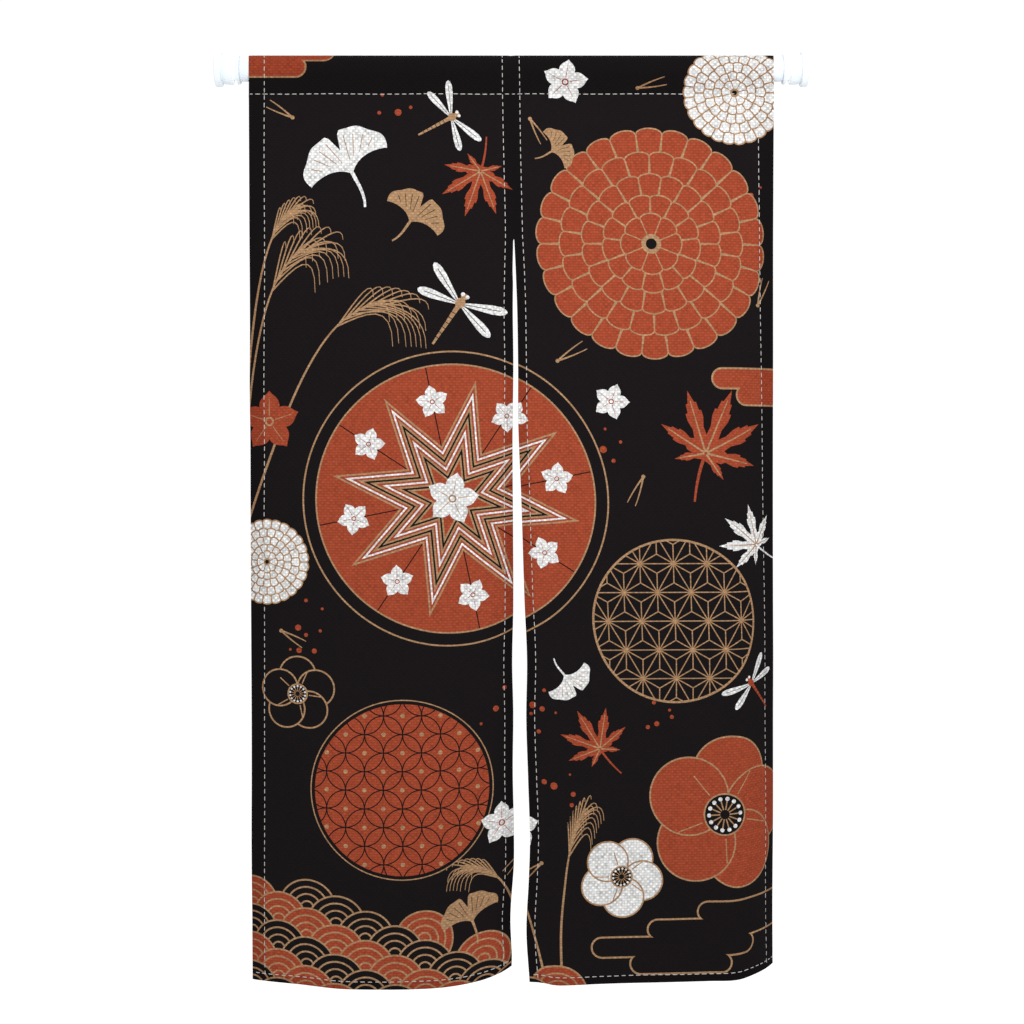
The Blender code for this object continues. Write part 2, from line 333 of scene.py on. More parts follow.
# Sewing
THREAD_STEP = 0.00148
STEPS_IN_STITCH = 8
FEWEST_STITCH_POINTS = 5
THREAD_INSET = 0.0012
THREAD_CLEARANCE = 0.0020
LINE_WAVER = 0.0003
UPRIGHT_WAVER_LENGTH = 0.31
LEVEL_WAVER_LENGTH = 0.17
THREAD_WIDTH = 0.0013
THREAD_FLATNESS = 0.60
THREAD_SIDES = 8
THREAD_DIP = 0.0006
THREAD_PROUD = 0.00008
THREAD_WANDER = 0.00012
THREAD_SEED = 7
GROOVE_DEPTH = 0.00035
GROOVE_WIDTH = 0.0016
GROOVE_SHARPNESS = 1.7
THREAD_IN_GROOVE = 0.4
PUCKER = 0.00022
PUCKER_REACH = 0.0090
PUCKER_WAVES = (0.0221, 0.0137, 0.0091)
PUCKER_PHASE = 900.0
EDGE_ROLL = 0.0003
EDGE_ROLL_WIDTH = 0.0012

# Mesh resolution
NORMAL_REACH = 0.0010
GROWTH_LEVELS = 65
FINE_PLACES = 427
SHARP_ANGLE = math.radians(40)
GRID_ACROSS = 0.0080
GRID_FALL = 0.0085
POCKET_GRID_FALL = 0.0026
POCKET_GRID_END = 0.0100
GRID_CLEAR_OF_SIDE = 0.0024
BESIDE_LINE = (-0.0020, -0.0010, 0.0, 0.0010, 0.0020)
LINE_STEP = 0.0050
EDGE_STEP = 0.0045
LONGEST_CHORD = 0.0080
MERGE_DISTANCE = 0.00003
CLEAR_OF_PRINT = 0.0022
CLEAR_OF_EDGES = 0.0006

# Where the cloth lies on the map that its pattern is baked through, as shares of that map
BAKE_MARGIN = 0.02
BAKE_FACE = 0.46
BAKE_BACK_START = 0.50
BAKE_FALL = 0.96
BAKE_RIM = 0.006

# The canvas weave: cells of yarns that go over and under each other in turn
CELL_WIDTH = 0.00445
CELL_HEIGHT = 0.00418
YARNS_IN_CELL = 3

# Colours, linear
INKS = {
    "ground": (0.0089, 0.0070, 0.0075),
    "vermilion": (0.311, 0.0572, 0.0262),
    "tan": (0.359, 0.212, 0.113),
    "white": (0.695, 0.692, 0.686),
}
UNPRINTED = (0.34, 0.31, 0.30)
SHOW_THROUGH = 0.76
# Painted shade where two layers lie on each other, for the light that one layer lets through and two
# hold back: its tone, how much a light ink lessens it, and how soon it ends below the pocket's stitches
DOUBLE_LAYER_SHADE = 0.72
DOUBLE_LAYER_SHADE_INK = 0.30
POCKET_SHADE_FADE = 0.001

# Camera and studio
CAMERA_X = 0.0010
CAMERA_Z = -0.7166
CAMERA_DISTANCE = 3.0
FRAME_WIDTH = 1.6573
SENSOR = 36.0
FARTHEST_SEEN = 50.0
FLOOR_Z = -2.0
FLOOR_HALF_SIZE = 15.0
FLOOR_SQUARES = 8
WORLD_STRENGTH = 1.06
KEY_PLACE = (0.30, -1.60, 0.05)
KEY_TARGET = (0.0, 0.0, -0.10)
KEY_SIZE = 0.7
KEY_POWER = 23.4
OVERHEAD_PLACE = (0.0, 0.8, 2.4)
OVERHEAD_TARGET = (0.0, 0.8, -2.0)
OVERHEAD_SIZE = 3.0
OVERHEAD_POWER = 46.0


# The print. A point of it is a complex number: metres across from the middle of the curtain, plus i
# times the metres down the printed face from the top of the rod. Angles are in degrees, clockwise
# from straight up. A motif is drawn about the origin, mostly one unit in radius, and then placed. An
# outline that comes later lies on top of the ones before it.
CURVE_ERROR = 0.00012
WORST_CURVE_ERROR = 0.1
FEWEST_CHORDS = 4
FINE_LINE = 0.0018
LINE = 0.0026
BOLD_LINE = 0.0036
STALK_POINTS = 9


class Outline(NamedTuple):
    ink: str
    points: np.ndarray


class Motif(NamedTuple):
    across: float
    down: float
    size: float
    turn: float
    ink: str = "tan"
    line_ink: str = "tan"

    @property
    def centre(self):
        return self.across + 1j * self.down

    @property
    def heading(self):
        return np.exp(1j * math.radians(self.turn))


class Dot(NamedTuple):
    centre: complex
    radius: float


class Bar(NamedTuple):
    start: float
    end: float
    down: float


class Grass(NamedTuple):
    root: complex
    rise: complex
    sweep: complex
    tip: complex
    droop: int


class Spray(NamedTuple):
    across: float
    down: float
    reach: float
    count: int
    seed: int


def polar(radius, angle):
    """Points at a radius and an angle from the origin."""
    return radius * np.exp(1j * np.radians(np.asarray(angle) - 90))


def placed(points, motif):
    """Points of a motif's own drawing, moved to its place, size and turn."""
    return motif.centre + motif.size * motif.heading * np.asarray(points)


def shape(ink, points, motif):
    """An outline of a motif's own drawing, put in its place."""
    return Outline(ink, placed(points, motif))


def arc(centre, radius, start, end):
    """Points on an arc, so close that each chord stays near the curve. Its error counts in radii."""
    error = min(CURVE_ERROR / radius, WORST_CURVE_ERROR)
    chord = 2 * math.degrees(math.acos(1 - error))
    count = max(FEWEST_CHORDS, math.ceil(abs(end - start) / chord))
    return centre + polar(radius, np.linspace(start, end, count + 1))


def disc(centre, radius):
    return arc(centre, radius, 0, 360)[:-1]


def stroke(points, widths):
    """A line through points as an outline, with one width or one for each point."""
    points = np.asarray(points)
    ahead = np.gradient(points)
    side = 1j * ahead / np.abs(ahead) * np.asarray(widths) / 2
    return np.concatenate([points + side, (points - side)[::-1]])


def tapered(points, widths):
    """A line through points that goes evenly from its first width to its last."""
    return stroke(points, np.linspace(*widths, len(points)))


def ray(angle, start, end, widths):
    """A straight line along an angle, from one radius to another."""
    return stroke(polar(np.array([start, end]), angle), widths)


def bend(start, first, second, end, count):
    """Points on the curve from start to end that two guides pull."""
    t = np.linspace(0, 1, count)
    return start * (1 - t) ** 3 + 3 * first * t * (1 - t) ** 2 + 3 * second * t**2 * (1 - t) + end * t**3


# Chrysanthemum: rings of petals, the outer ones first
PETAL_POINTS = 13
PETAL_CAP = 0.16
SHORT_PETAL = 0.3
PETAL_LINE = 0.0022
PETAL_FOOT = 0.88
UNDER_NEXT_RING = 0.9
BLOSSOM_RADII = (1.00, 0.80, 0.61, 0.43, 0.27)
BLOSSOM_PETALS = (26, 22, 18, 13, 8)
BLOSSOM_EYE = 0.085
BLOSSOM_EYE_HOLE = 0.55


def petal_tip(inner, outer, half_angle):
    """Radii and angles of a petal's round tip, from one side of the petal to the other."""
    across = -np.cos(np.linspace(0, np.pi, PETAL_POINTS))
    shoulder = outer - PETAL_CAP * max(outer - inner, SHORT_PETAL * outer)
    radii = shoulder + (outer - shoulder) * np.sqrt(1 - across**2)
    return radii, across * half_angle


def chrysanthemum(motif):
    """Rings of round-tipped petals, each ring over the feet of the one outside it."""
    line = PETAL_LINE / motif.size
    next_radii = (*BLOSSOM_RADII[1:], BLOSSOM_EYE)
    for i, (outer, count) in enumerate(zip(BLOSSOM_RADII, BLOSSOM_PETALS)):
        inner = UNDER_NEXT_RING * next_radii[i]
        half_angle = 360 / count / 2
        inset = math.degrees(line / 2 / outer)
        angles = 360 / count * (np.arange(count) + i / 2)
        tip_radii, tip_angles = petal_tip(inner, outer, half_angle)
        scallop = [polar(tip_radii, angle + tip_angles) for angle in angles]
        yield shape(motif.line_ink, np.concatenate(scallop), motif)
        tip_radii, tip_angles = petal_tip(inner, outer - line, half_angle - inset)
        foot_angles = (half_angle - inset) * np.array([PETAL_FOOT, -PETAL_FOOT])
        for angle in angles:
            petal = [polar(tip_radii, angle + tip_angles), polar(inner, angle + foot_angles)]
            yield shape(motif.ink, np.concatenate(petal), motif)
    yield shape(motif.line_ink, disc(0, BLOSSOM_EYE), motif)
    yield shape("ground", disc(0, BLOSSOM_EYE * BLOSSOM_EYE_HOLE), motif)


# Camellia: five broad petals round a brush of stamens
CAMELLIA_PETALS = 5
CAMELLIA_PETAL = 0.50
CAMELLIA_REACH = 0.50
CAMELLIA_VEIN = np.linspace(0.3, 0.62, 4)
CAMELLIA_VEIN_TURN = 12
CAMELLIA_EYE = 0.27
STAMENS = 14
STAMEN_START = 0.06
STAMEN_END = 0.17
STAMEN_WIDTH = 0.016
ANTHER_REACH = 0.20
ANTHER = 0.026


def camellia(motif):
    """Petals that overlap, a vein near each gap, and an eye full of stamens."""
    line = LINE / motif.size
    for k in range(CAMELLIA_PETALS):
        centre = polar(CAMELLIA_REACH, 360 * k / CAMELLIA_PETALS)
        yield shape(motif.line_ink, disc(centre, CAMELLIA_PETAL), motif)
        yield shape(motif.ink, disc(centre, CAMELLIA_PETAL - line), motif)
    for k in range(CAMELLIA_PETALS):
        angle = 360 * (k + 0.5) / CAMELLIA_PETALS - CAMELLIA_VEIN_TURN
        yield shape(motif.line_ink, stroke(polar(CAMELLIA_VEIN, angle), FINE_LINE / motif.size), motif)
    yield shape(motif.line_ink, disc(0, CAMELLIA_EYE), motif)
    yield shape("ground", disc(0, CAMELLIA_EYE - line), motif)
    for k in range(STAMENS):
        angle = 360 * k / STAMENS
        yield shape("tan", ray(angle, STAMEN_START, STAMEN_END, STAMEN_WIDTH), motif)
        yield shape("white", disc(polar(ANTHER_REACH, angle), ANTHER), motif)


# Bellflower: five pointed lobes
BELL_LOBES = 5
BELL_LOBE_POINTS = 13
BELL_RIM_SHARES = (0.00, 0.12, 0.40, 0.75, 1.00)
BELL_RIM_RADII = (1.00, 0.91, 0.83, 0.72, 0.58)
BELL_VEIN_START = 0.2
BELL_VEIN_END = 0.8
BELL_VEIN_WIDTHS = (0.035, 0.012)
BELL_EYE = 0.15
BELL_EYE_HOLE = 0.09


def bellflower(motif):
    """Five pointed lobes, with a line down each."""
    half_pitch = 180 / BELL_LOBES
    shares = np.linspace(-1, 1, BELL_LOBE_POINTS)
    radii = np.interp(np.abs(shares), BELL_RIM_SHARES, BELL_RIM_RADII)
    lobes = [polar(radii, 2 * half_pitch * k + shares * half_pitch) for k in range(BELL_LOBES)]
    yield shape(motif.ink, np.concatenate(lobes), motif)
    for k in range(BELL_LOBES):
        vein = ray(2 * half_pitch * k, BELL_VEIN_START, BELL_VEIN_END, BELL_VEIN_WIDTHS)
        yield shape(motif.line_ink, vein, motif)
    yield shape(motif.line_ink, disc(0, BELL_EYE), motif)
    yield shape(motif.ink, disc(0, BELL_EYE_HOLE), motif)


# Maple leaf: seven toothed lobes and a stalk. A lobe's half widths are those along its side, by share
# of its length.
MAPLE_ANGLES = (-124, -80, -39, 0, 39, 80, 124)
MAPLE_LENGTHS = (0.46, 0.76, 0.94, 1.00, 0.94, 0.76, 0.46)
MAPLE_SHARES = np.array([0.40, 0.55, 0.66, 0.665, 0.80, 0.805, 1.00])
MAPLE_HALF_WIDTHS = np.array([0.085, 0.125, 0.125, 0.090, 0.082, 0.052, 0.000])
MAPLE_VALLEY = 0.27
MAPLE_FOOT = 0.10
MAPLE_FOOT_GAP = 60
MAPLE_STALK = bend(0, 0.25j, 0.05 + 0.5j, 0.12 + 0.72j, STALK_POINTS)
MAPLE_STALK_WIDTHS = (0.05, 0.03)
MAPLE_VEIN_START = 0.02
MAPLE_VEIN_END = 0.84
MAPLE_VEIN_WIDTHS = (0.030, 0.012)


def maple_leaf(motif):
    """A stalk under seven lobes with saw teeth, and a vein down each lobe."""
    outline = []
    for angle, length, next_angle in zip(MAPLE_ANGLES, MAPLE_LENGTHS, np.roll(MAPLE_ANGLES, -1)):
        axis = polar(MAPLE_SHARES * length, angle)
        side = MAPLE_HALF_WIDTHS * length
        gap = (next_angle - angle) % 360
        valley = MAPLE_VALLEY if gap < MAPLE_FOOT_GAP else MAPLE_FOOT
        outline.append(axis + polar(side, angle - 90))
        outline.append((axis + polar(side, angle + 90))[::-1])
        outline.append(polar(np.array([valley]), angle + gap / 2))
    yield shape(motif.ink, tapered(MAPLE_STALK, MAPLE_STALK_WIDTHS), motif)
    yield shape(motif.ink, np.concatenate(outline), motif)
    for angle, length in zip(MAPLE_ANGLES, MAPLE_LENGTHS):
        vein = ray(angle, MAPLE_VEIN_START, MAPLE_VEIN_END * length, MAPLE_VEIN_WIDTHS)
        yield shape(motif.line_ink, vein, motif)


# Ginkgo leaf: a notched fan on a stalk
GINKGO_SPREAD = 76
GINKGO_RIM_POINTS = 51
GINKGO_NOTCH = 0.42
GINKGO_NOTCH_ANGLE = 5
GINKGO_RIPPLE = 0.018
GINKGO_RIPPLES = 12
GINKGO_SHOULDER = 0.12
GINKGO_SHOULDER_POWER = 10
GINKGO_SIDE = np.linspace(0.10, 0.84, 8)
GINKGO_SIDE_LENGTH = 0.78
GINKGO_SIDE_POWER = 0.6
GINKGO_FOOT_ANGLE = 12
GINKGO_STALK = bend(-0.12j, 0.2j, 0.02 + 0.4j, -0.10 + 0.62j, STALK_POINTS)
GINKGO_STALK_WIDTHS = (0.075, 0.045)
GINKGO_VEINS = 9
GINKGO_VEIN_SPREAD = 52
GINKGO_VEIN_FOOT = 0.34
GINKGO_VEIN_FOOT_RISE = 0.30
GINKGO_VEIN_END = 0.86
GINKGO_VEIN_WIDTHS = (0.012, 0.020)
GINKGO_CLEFT_ANGLE = 8


def ginkgo_leaf(motif):
    """A fan with a rippled rim and a notch in its middle. No vein runs into the notch."""
    angles = np.linspace(-GINKGO_SPREAD, GINKGO_SPREAD, GINKGO_RIM_POINTS)
    rim = 1 - GINKGO_NOTCH * np.exp(-((angles / GINKGO_NOTCH_ANGLE) ** 2))
    rim += GINKGO_RIPPLE * np.cos(np.radians(angles * GINKGO_RIPPLES))
    rim -= GINKGO_SHOULDER * np.abs(angles / GINKGO_SPREAD) ** GINKGO_SHOULDER_POWER
    up_side = ((GINKGO_SIDE - GINKGO_SIDE[0]) / GINKGO_SIDE_LENGTH) ** GINKGO_SIDE_POWER
    opening = GINKGO_FOOT_ANGLE + (GINKGO_SPREAD - GINKGO_FOOT_ANGLE) * up_side
    sides = polar(GINKGO_SIDE, -opening), polar(GINKGO_SIDE, opening)[::-1]
    yield shape(motif.ink, tapered(GINKGO_STALK, GINKGO_STALK_WIDTHS), motif)
    yield shape(motif.ink, np.concatenate([sides[0], polar(rim, angles), sides[1]]), motif)
    for k in range(GINKGO_VEINS):
        angle = GINKGO_VEIN_SPREAD * (2 * k / (GINKGO_VEINS - 1) - 1)
        if abs(angle) > GINKGO_CLEFT_ANGLE:
            foot = GINKGO_VEIN_FOOT + GINKGO_VEIN_FOOT_RISE * (angle / GINKGO_VEIN_SPREAD) ** 2
            yield shape(motif.line_ink, ray(angle, foot, GINKGO_VEIN_END, GINKGO_VEIN_WIDTHS), motif)


# Dragonfly: four wings on a ringed body
WING_ANGLES = (66, -66, 104, -104)
WING_LENGTHS = (0.98, 0.98, 0.90, 0.90)
WING_SHARES = np.array([0.00, 0.15, 0.40, 0.65, 0.85, 0.96, 1.00])
WING_HALF_WIDTHS = np.array([0.022, 0.045, 0.070, 0.092, 0.086, 0.052, 0.010])
WING_ROOT = 0.06
WING_VEIN = np.array([0.12, 0.86])
WING_VEIN_WIDTH = 0.014
TAIL = np.linspace(0.05, 0.98, 9) * 1j
TAIL_WIDTHS = (0.10, 0.045)
TAIL_RINGS = 6
TAIL_RING_START = 0.22
TAIL_RING_STEP = 0.12
TAIL_RING_HALF_LENGTH = 0.06
TAIL_RING_WIDTH = 0.016
THORAX = Dot(centre=-0.02j, radius=0.105)
HEAD = Dot(centre=-0.17j, radius=0.070)
EYES = (Dot(centre=-0.055 - 0.20j, radius=0.040), Dot(centre=0.055 - 0.20j, radius=0.040))


def wing_blade(angle, length):
    """A wing along its angle, broadest past its middle."""
    middle = polar(WING_ROOT + (length - WING_ROOT) * WING_SHARES, angle)
    side = polar(WING_HALF_WIDTHS, angle + 90)
    return np.concatenate([middle + side, (middle - side)[::-1]])


def dragonfly(motif):
    """Wings with a vein each, a long tail with rings, and a round head with two eyes."""
    for angle, length in zip(WING_ANGLES, WING_LENGTHS):
        yield shape(motif.ink, wing_blade(angle, length), motif)
        yield shape("ground", stroke(polar(WING_VEIN * length, angle), WING_VEIN_WIDTH), motif)
    yield shape(motif.line_ink, tapered(TAIL, TAIL_WIDTHS), motif)
    for k in range(TAIL_RINGS):
        middle = (TAIL_RING_START + TAIL_RING_STEP * k) * 1j
        ring = [middle - TAIL_RING_HALF_LENGTH, middle + TAIL_RING_HALF_LENGTH]
        yield shape("ground", stroke(ring, TAIL_RING_WIDTH), motif)
    for dot in (THORAX, HEAD):
        yield shape(motif.line_ink, disc(*dot), motif)
    for dot in EYES:
        yield shape(motif.ink, disc(*dot), motif)


# Temari ball: nested stars of thread on a wound ball, with a flower in each bay. The rings of its
# double rim are counted in line widths out from the ball.
BALL_RIM = (("tan", 9), ("ground", 8), ("tan", 1))
BALL_BAYS = 8
BALL_GUIDE_START = 0.3
BALL_FLOWER_REACH = 0.74
BALL_FLOWER = 0.125
BALL_MIDDLE_FLOWER = 0.20
BALL_STARS = 14
BALL_STAR_SHRINK = 0.052
BALL_STAR_TIP = 0.90
BALL_STAR_VALLEY = 0.40
BALL_STAR_INKS = ("tan", "vermilion", "white", "vermilion", "tan", "ground")


def star(tips, tip_radius, valley_radius):
    """Points of a star, a tip and a valley in turn."""
    corners = np.arange(2 * tips)
    radii = np.where(corners % 2 == 0, tip_radius, valley_radius)
    return polar(radii, corners * 180 / tips)


def temari(motif):
    """A ball with a double rim. Each star is a little smaller than the last, and in the next ink."""
    for ink, lines in BALL_RIM:
        yield shape(ink, disc(0, 1 + lines * (LINE / motif.size)), motif)
    yield shape(motif.ink, disc(0, 1), motif)
    for k in range(BALL_BAYS):
        angle = 360 * (k + 0.5) / BALL_BAYS
        yield shape("ground", ray(angle, BALL_GUIDE_START, 1.0, FINE_LINE / motif.size), motif)
        middle = placed(polar(BALL_FLOWER_REACH, angle), motif)
        place = middle.real, middle.imag, BALL_FLOWER * motif.size, motif.turn + angle
        yield from bellflower(Motif(*place, "white", "vermilion"))
    for k in range(BALL_STARS):
        shrink = 1 - k * BALL_STAR_SHRINK
        points = star(BALL_BAYS, BALL_STAR_TIP * shrink, BALL_STAR_VALLEY * shrink)
        yield shape(BALL_STAR_INKS[k % len(BALL_STAR_INKS)], points, motif)
    size = BALL_MIDDLE_FLOWER * motif.size
    yield from bellflower(Motif(motif.across, motif.down, size, motif.turn, "white", "tan"))


# Hemp-leaf roundel: a lattice of triangles, each with three spokes, cut to a circle
HEMP_SIDE = 0.0540
SHORTEST_CUT = 0.02


def cut_to_circle(start, end, centre, radius):
    """The part of a straight line inside a circle, or None where next to nothing of it is."""
    along = end - start
    away = start - centre
    a = abs(along) ** 2
    b = (away * along.conjugate()).real
    c = abs(away) ** 2 - radius**2
    inside = b * b - a * c
    if inside <= 0:
        return None
    enter = max(0.0, (-b - math.sqrt(inside)) / a)
    leave = min(1.0, (-b + math.sqrt(inside)) / a)
    if leave - enter < SHORTEST_CUT:
        return None
    return start + along * enter, start + along * leave


def hemp_leaf_lines(reach):
    """Both ends of every line of the pattern, out to a reach from its middle."""
    right = HEMP_SIDE
    slant = HEMP_SIDE * complex(0.5, math.sqrt(3) / 2)
    count = math.ceil(reach / HEMP_SIDE) + 1
    for i in range(-2 * count, 2 * count):
        for j in range(-count, count):
            corner = i * right + j * slant
            beside = corner + right
            above = corner + slant
            yield from ((corner, beside), (corner, above), (beside, above))
            for triangle in ((corner, beside, above), (beside, beside + slant, above)):
                middle = sum(triangle) / 3
                yield from ((middle, tip) for tip in triangle)


def hemp_roundel(motif):
    """A rimmed disc filled with the hemp-leaf pattern."""
    centre = motif.centre
    yield Outline(motif.line_ink, disc(centre, motif.size))
    yield Outline(motif.ink, disc(centre, motif.size - BOLD_LINE))
    for start, end in hemp_leaf_lines(motif.size):
        ends = centre + start * motif.heading, centre + end * motif.heading
        cut = cut_to_circle(*ends, centre, motif.size - BOLD_LINE / 2)
        if cut:
            yield Outline(motif.line_ink, stroke(cut, FINE_LINE))


# Linked-circle roundel: circles that overlap by quarters, in fine lines on a disc
LINK_RADIUS = 0.0300
LINK_DOT = 0.0036


def circle_runs_inside(middle, radius, centre, limit):
    """Start and end angles of the parts of a circle that lie inside another one."""
    apart = abs(middle - centre)
    if apart + radius <= limit:
        return [(0, 360)]
    if apart >= limit + radius or apart + limit <= radius:
        return []
    cosine = (apart**2 + radius**2 - limit**2) / (2 * apart * radius)
    half = math.degrees(math.acos(max(-1.0, min(1.0, cosine))))
    towards = math.degrees(np.angle(centre - middle)) + 90
    return [(towards - half, towards + half)]


def linked_roundel(motif):
    """A double-rimmed disc filled with linked circles, and a dot in the middle of each."""
    inside = motif.size - 2 * BOLD_LINE
    yield Outline(motif.line_ink, disc(motif.centre, motif.size))
    yield Outline("ground", disc(motif.centre, motif.size - FINE_LINE))
    yield Outline(motif.ink, disc(motif.centre, inside))
    step = 2 * LINK_RADIUS
    count = math.ceil(motif.size / step) + 1
    for i in range(-count, count + 1):
        for j in range(-count, count + 1):
            for offset in (0, (1 + 1j) / 2):
                middle = motif.centre + step * (i + 1j * j + offset)
                for start, end in circle_runs_inside(middle, LINK_RADIUS, motif.centre, inside):
                    yield Outline("ground", stroke(arc(middle, LINK_RADIUS, start, end), FINE_LINE))
                if abs(middle - motif.centre) + LINK_DOT < inside:
                    yield Outline("tan", disc(middle, LINK_DOT))


# Waves: rows of scales with rings inside them. Each row lies half a scale's radius below the last one
# and half a scale aside from it. A row is given by how many scales it has.
SCALE_RADIUS = 0.0470
SCALE_RINGS = 4
SCALE_LINE = 0.0028
FREE_SIDE_ANGLE = 150
HILL_LEFT = -0.470
HILL_TOP = 1.3765
HILL_ROWS = (1, 2, 3, 4, 4, 5, 5, 6, 6)
HILL_INKS = ("vermilion", "ground")


def shown_angle(ring_radius):
    """How far round from its top a scale's ring shows before the next row covers it.

    A scale of the next row lies one radius aside and half a radius below.
    """
    share = ring_radius / SCALE_RADIUS
    covered = (share + 0.25 / share) / math.sqrt(5)
    return math.degrees(math.atan(0.5) + math.asin(min(covered, 1.0)))


def wave_scale(centre, ink, free_right):
    """A scale with its rings. The last one of a row has nothing over its right side."""
    yield Outline(ink, disc(centre, SCALE_RADIUS))
    for k in range(SCALE_RINGS):
        radius = SCALE_RADIUS * (1 - k / SCALE_RINGS) - SCALE_LINE / 2
        shown = shown_angle(radius)
        ring = arc(centre, radius, -shown, FREE_SIDE_ANGLE if free_right else shown)
        yield Outline("tan", stroke(ring, SCALE_LINE))


def wave_hill():
    for i, count in enumerate(HILL_ROWS):
        left = HILL_LEFT + i % 2 * SCALE_RADIUS + 1j * (HILL_TOP + i * SCALE_RADIUS / 2)
        for k in range(count):
            ink = HILL_INKS[(k + i // 2) % len(HILL_INKS)]
            yield from wave_scale(left + k * 2 * SCALE_RADIUS, ink, k == count - 1)


# Mist: level bars with round ends, one above the other, in one outline
BAR_HALF_HEIGHT = 0.0150
BAR_LINE = 0.0030


def stadium(bar, half_height):
    right = arc(bar.end + 1j * bar.down, half_height, 0, 180)
    left = arc(bar.start + 1j * bar.down, half_height, 180, 360)
    return np.concatenate([right, left])


def mist(bars, bars_ink):
    for ink, half_height in (("tan", BAR_HALF_HEIGHT + BAR_LINE), (bars_ink, BAR_HALF_HEIGHT)):
        for bar in bars:
            yield Outline(ink, stadium(bar, half_height))


# Pampas grass: a bowed stem with a drooping plume
GRASS_POINTS = 25
STEM_WIDTHS = (0.0042, 0.0022)
PLUME_HAIRS = 20
PLUME_SHARE = 0.30
HAIR_SHARE = 0.26
HAIR_SHORTENING = 0.35
HAIR_SPREADS = (1, -0.45, 0.35)
HAIR_ANGLE = 24
HAIR_GUIDE = 0.45
HAIR_REACH = 0.85
HAIR_DROOP = 0.42
HAIR_SPREAD_DROOP = 0.22
HAIR_POINTS = 9
HAIR_WIDTHS = (0.0026, 0.0010)


def pampas(grass):
    """A stem whose last part sends hairs out to its sides. They hang down at their ends."""
    stem = bend(grass.root, grass.rise, grass.sweep, grass.tip, GRASS_POINTS)
    yield Outline("tan", tapered(stem, STEM_WIDTHS))
    ahead = np.gradient(stem)
    for k in range(PLUME_HAIRS):
        at = (1 - PLUME_SHARE * (1 - k / (PLUME_HAIRS - 1))) * (GRASS_POINTS - 1)
        start = np.interp(at, range(GRASS_POINTS), stem)
        heading = ahead[int(at)] / abs(ahead[int(at)])
        length = abs(grass.tip - grass.root) * HAIR_SHARE * (1.0 - HAIR_SHORTENING * k / PLUME_HAIRS)
        spread = HAIR_SPREADS[k % len(HAIR_SPREADS)]
        out = heading * np.exp(1j * math.radians(HAIR_ANGLE * spread * grass.droop)) * length
        far = start + HAIR_REACH * out
        end = far + 1j * length * (HAIR_DROOP + HAIR_SPREAD_DROOP * spread)
        hair = bend(start, start + HAIR_GUIDE * out, far, end, HAIR_POINTS)
        yield Outline("tan", tapered(hair, HAIR_WIDTHS))


# Pine needles: a pair that spreads from one knot
NEEDLE_SPREAD = 8
NEEDLE_POINTS = 7
NEEDLE_GUIDES = (0.35, 0.7)
NEEDLE_BOW = 0.03
NEEDLE_WIDTHS = (0.0030, 0.0014)
NEEDLE_KNOT = 0.0032


def pine_needles(motif):
    widths = np.array(NEEDLE_WIDTHS) / motif.size
    for side in (-1, 1):
        tip = polar(1.0, side * NEEDLE_SPREAD)
        first, second = (guide * tip + side * NEEDLE_BOW for guide in NEEDLE_GUIDES)
        needle = bend(0, first, second, tip, NEEDLE_POINTS)
        yield shape(motif.ink, tapered(needle, widths), motif)
    yield shape(motif.ink, disc(0, NEEDLE_KNOT / motif.size), motif)


# Berries: a loose group of dots
BERRY_RADII = (0.0022, 0.0048)
BERRY_MIDDLE_SIZE = 1.5
BERRY_RIM_LOSS = 0.8
BERRY_GAP = 0.006


def berries(spray):
    """Dots that stay clear of each other. The largest lie near the middle of the group."""
    draw = random.Random(spray.seed)
    taken = []
    while len(taken) < spray.count:
        away = spray.reach * math.sqrt(draw.random())
        centre = spray.across + 1j * spray.down + polar(away, draw.uniform(0, 360))
        radius = draw.uniform(*BERRY_RADII) * (BERRY_MIDDLE_SIZE - BERRY_RIM_LOSS * away / spray.reach)
        if all(abs(centre - dot.centre) > radius + dot.radius + BERRY_GAP for dot in taken):
            taken.append(Dot(centre, radius))
            yield Outline("vermilion", disc(centre, radius))


# Where everything lies. A motif's values are its place across and down, its size, its turn and the
# inks of its faces and its lines, both tan unless they are given. A bar of mist goes from one across
# to another at a place down.
BLOSSOMS = (
    Motif(0.222, 0.322, 0.188, 0, "vermilion"),
    Motif(0.362, 0.078, 0.084, 8, "white"),
    Motif(-0.396, 0.838, 0.070, 0, "white"),
)
CAMELLIAS = (
    Motif(0.318, 1.252, 0.130, 10, "vermilion"),
    Motif(0.150, 1.352, 0.068, 30, "white"),
    Motif(-0.345, 1.052, 0.062, 0, "ground"),
)
BALLS = (
    Motif(-0.098, 0.735, 0.216, 11, "vermilion"),
)
HEMP_ROUNDELS = (
    Motif(0.242, 0.935, 0.134, 0, "ground"),
)
LINKED_ROUNDELS = (
    Motif(-0.178, 1.205, 0.146, 0, "vermilion"),
)
MAPLE_LEAVES = (
    Motif(0.300, 0.662, 0.112, 24, "vermilion"),
    Motif(0.118, 1.142, 0.072, -30, "vermilion"),
    Motif(0.384, 0.812, 0.072, -52, "white"),
    Motif(-0.052, 0.205, 0.078, 200, "vermilion"),
)
GINKGO_LEAVES = (
    Motif(-0.255, 0.215, 0.082, -28, "white"),
    Motif(-0.170, 0.292, 0.058, 35, "tan", "ground"),
    Motif(0.058, 1.018, 0.044, 140, "white"),
    Motif(-0.062, 1.432, 0.054, -20, "tan", "ground"),
    Motif(0.060, 0.175, 0.040, 60, "tan", "ground"),
)
DRAGONFLIES = (
    Motif(-0.086, 0.420, 0.080, 34, "white"),
    Motif(0.368, 1.040, 0.056, -40, "white", "vermilion"),
    Motif(-0.098, 0.118, 0.062, 62, "white"),
)
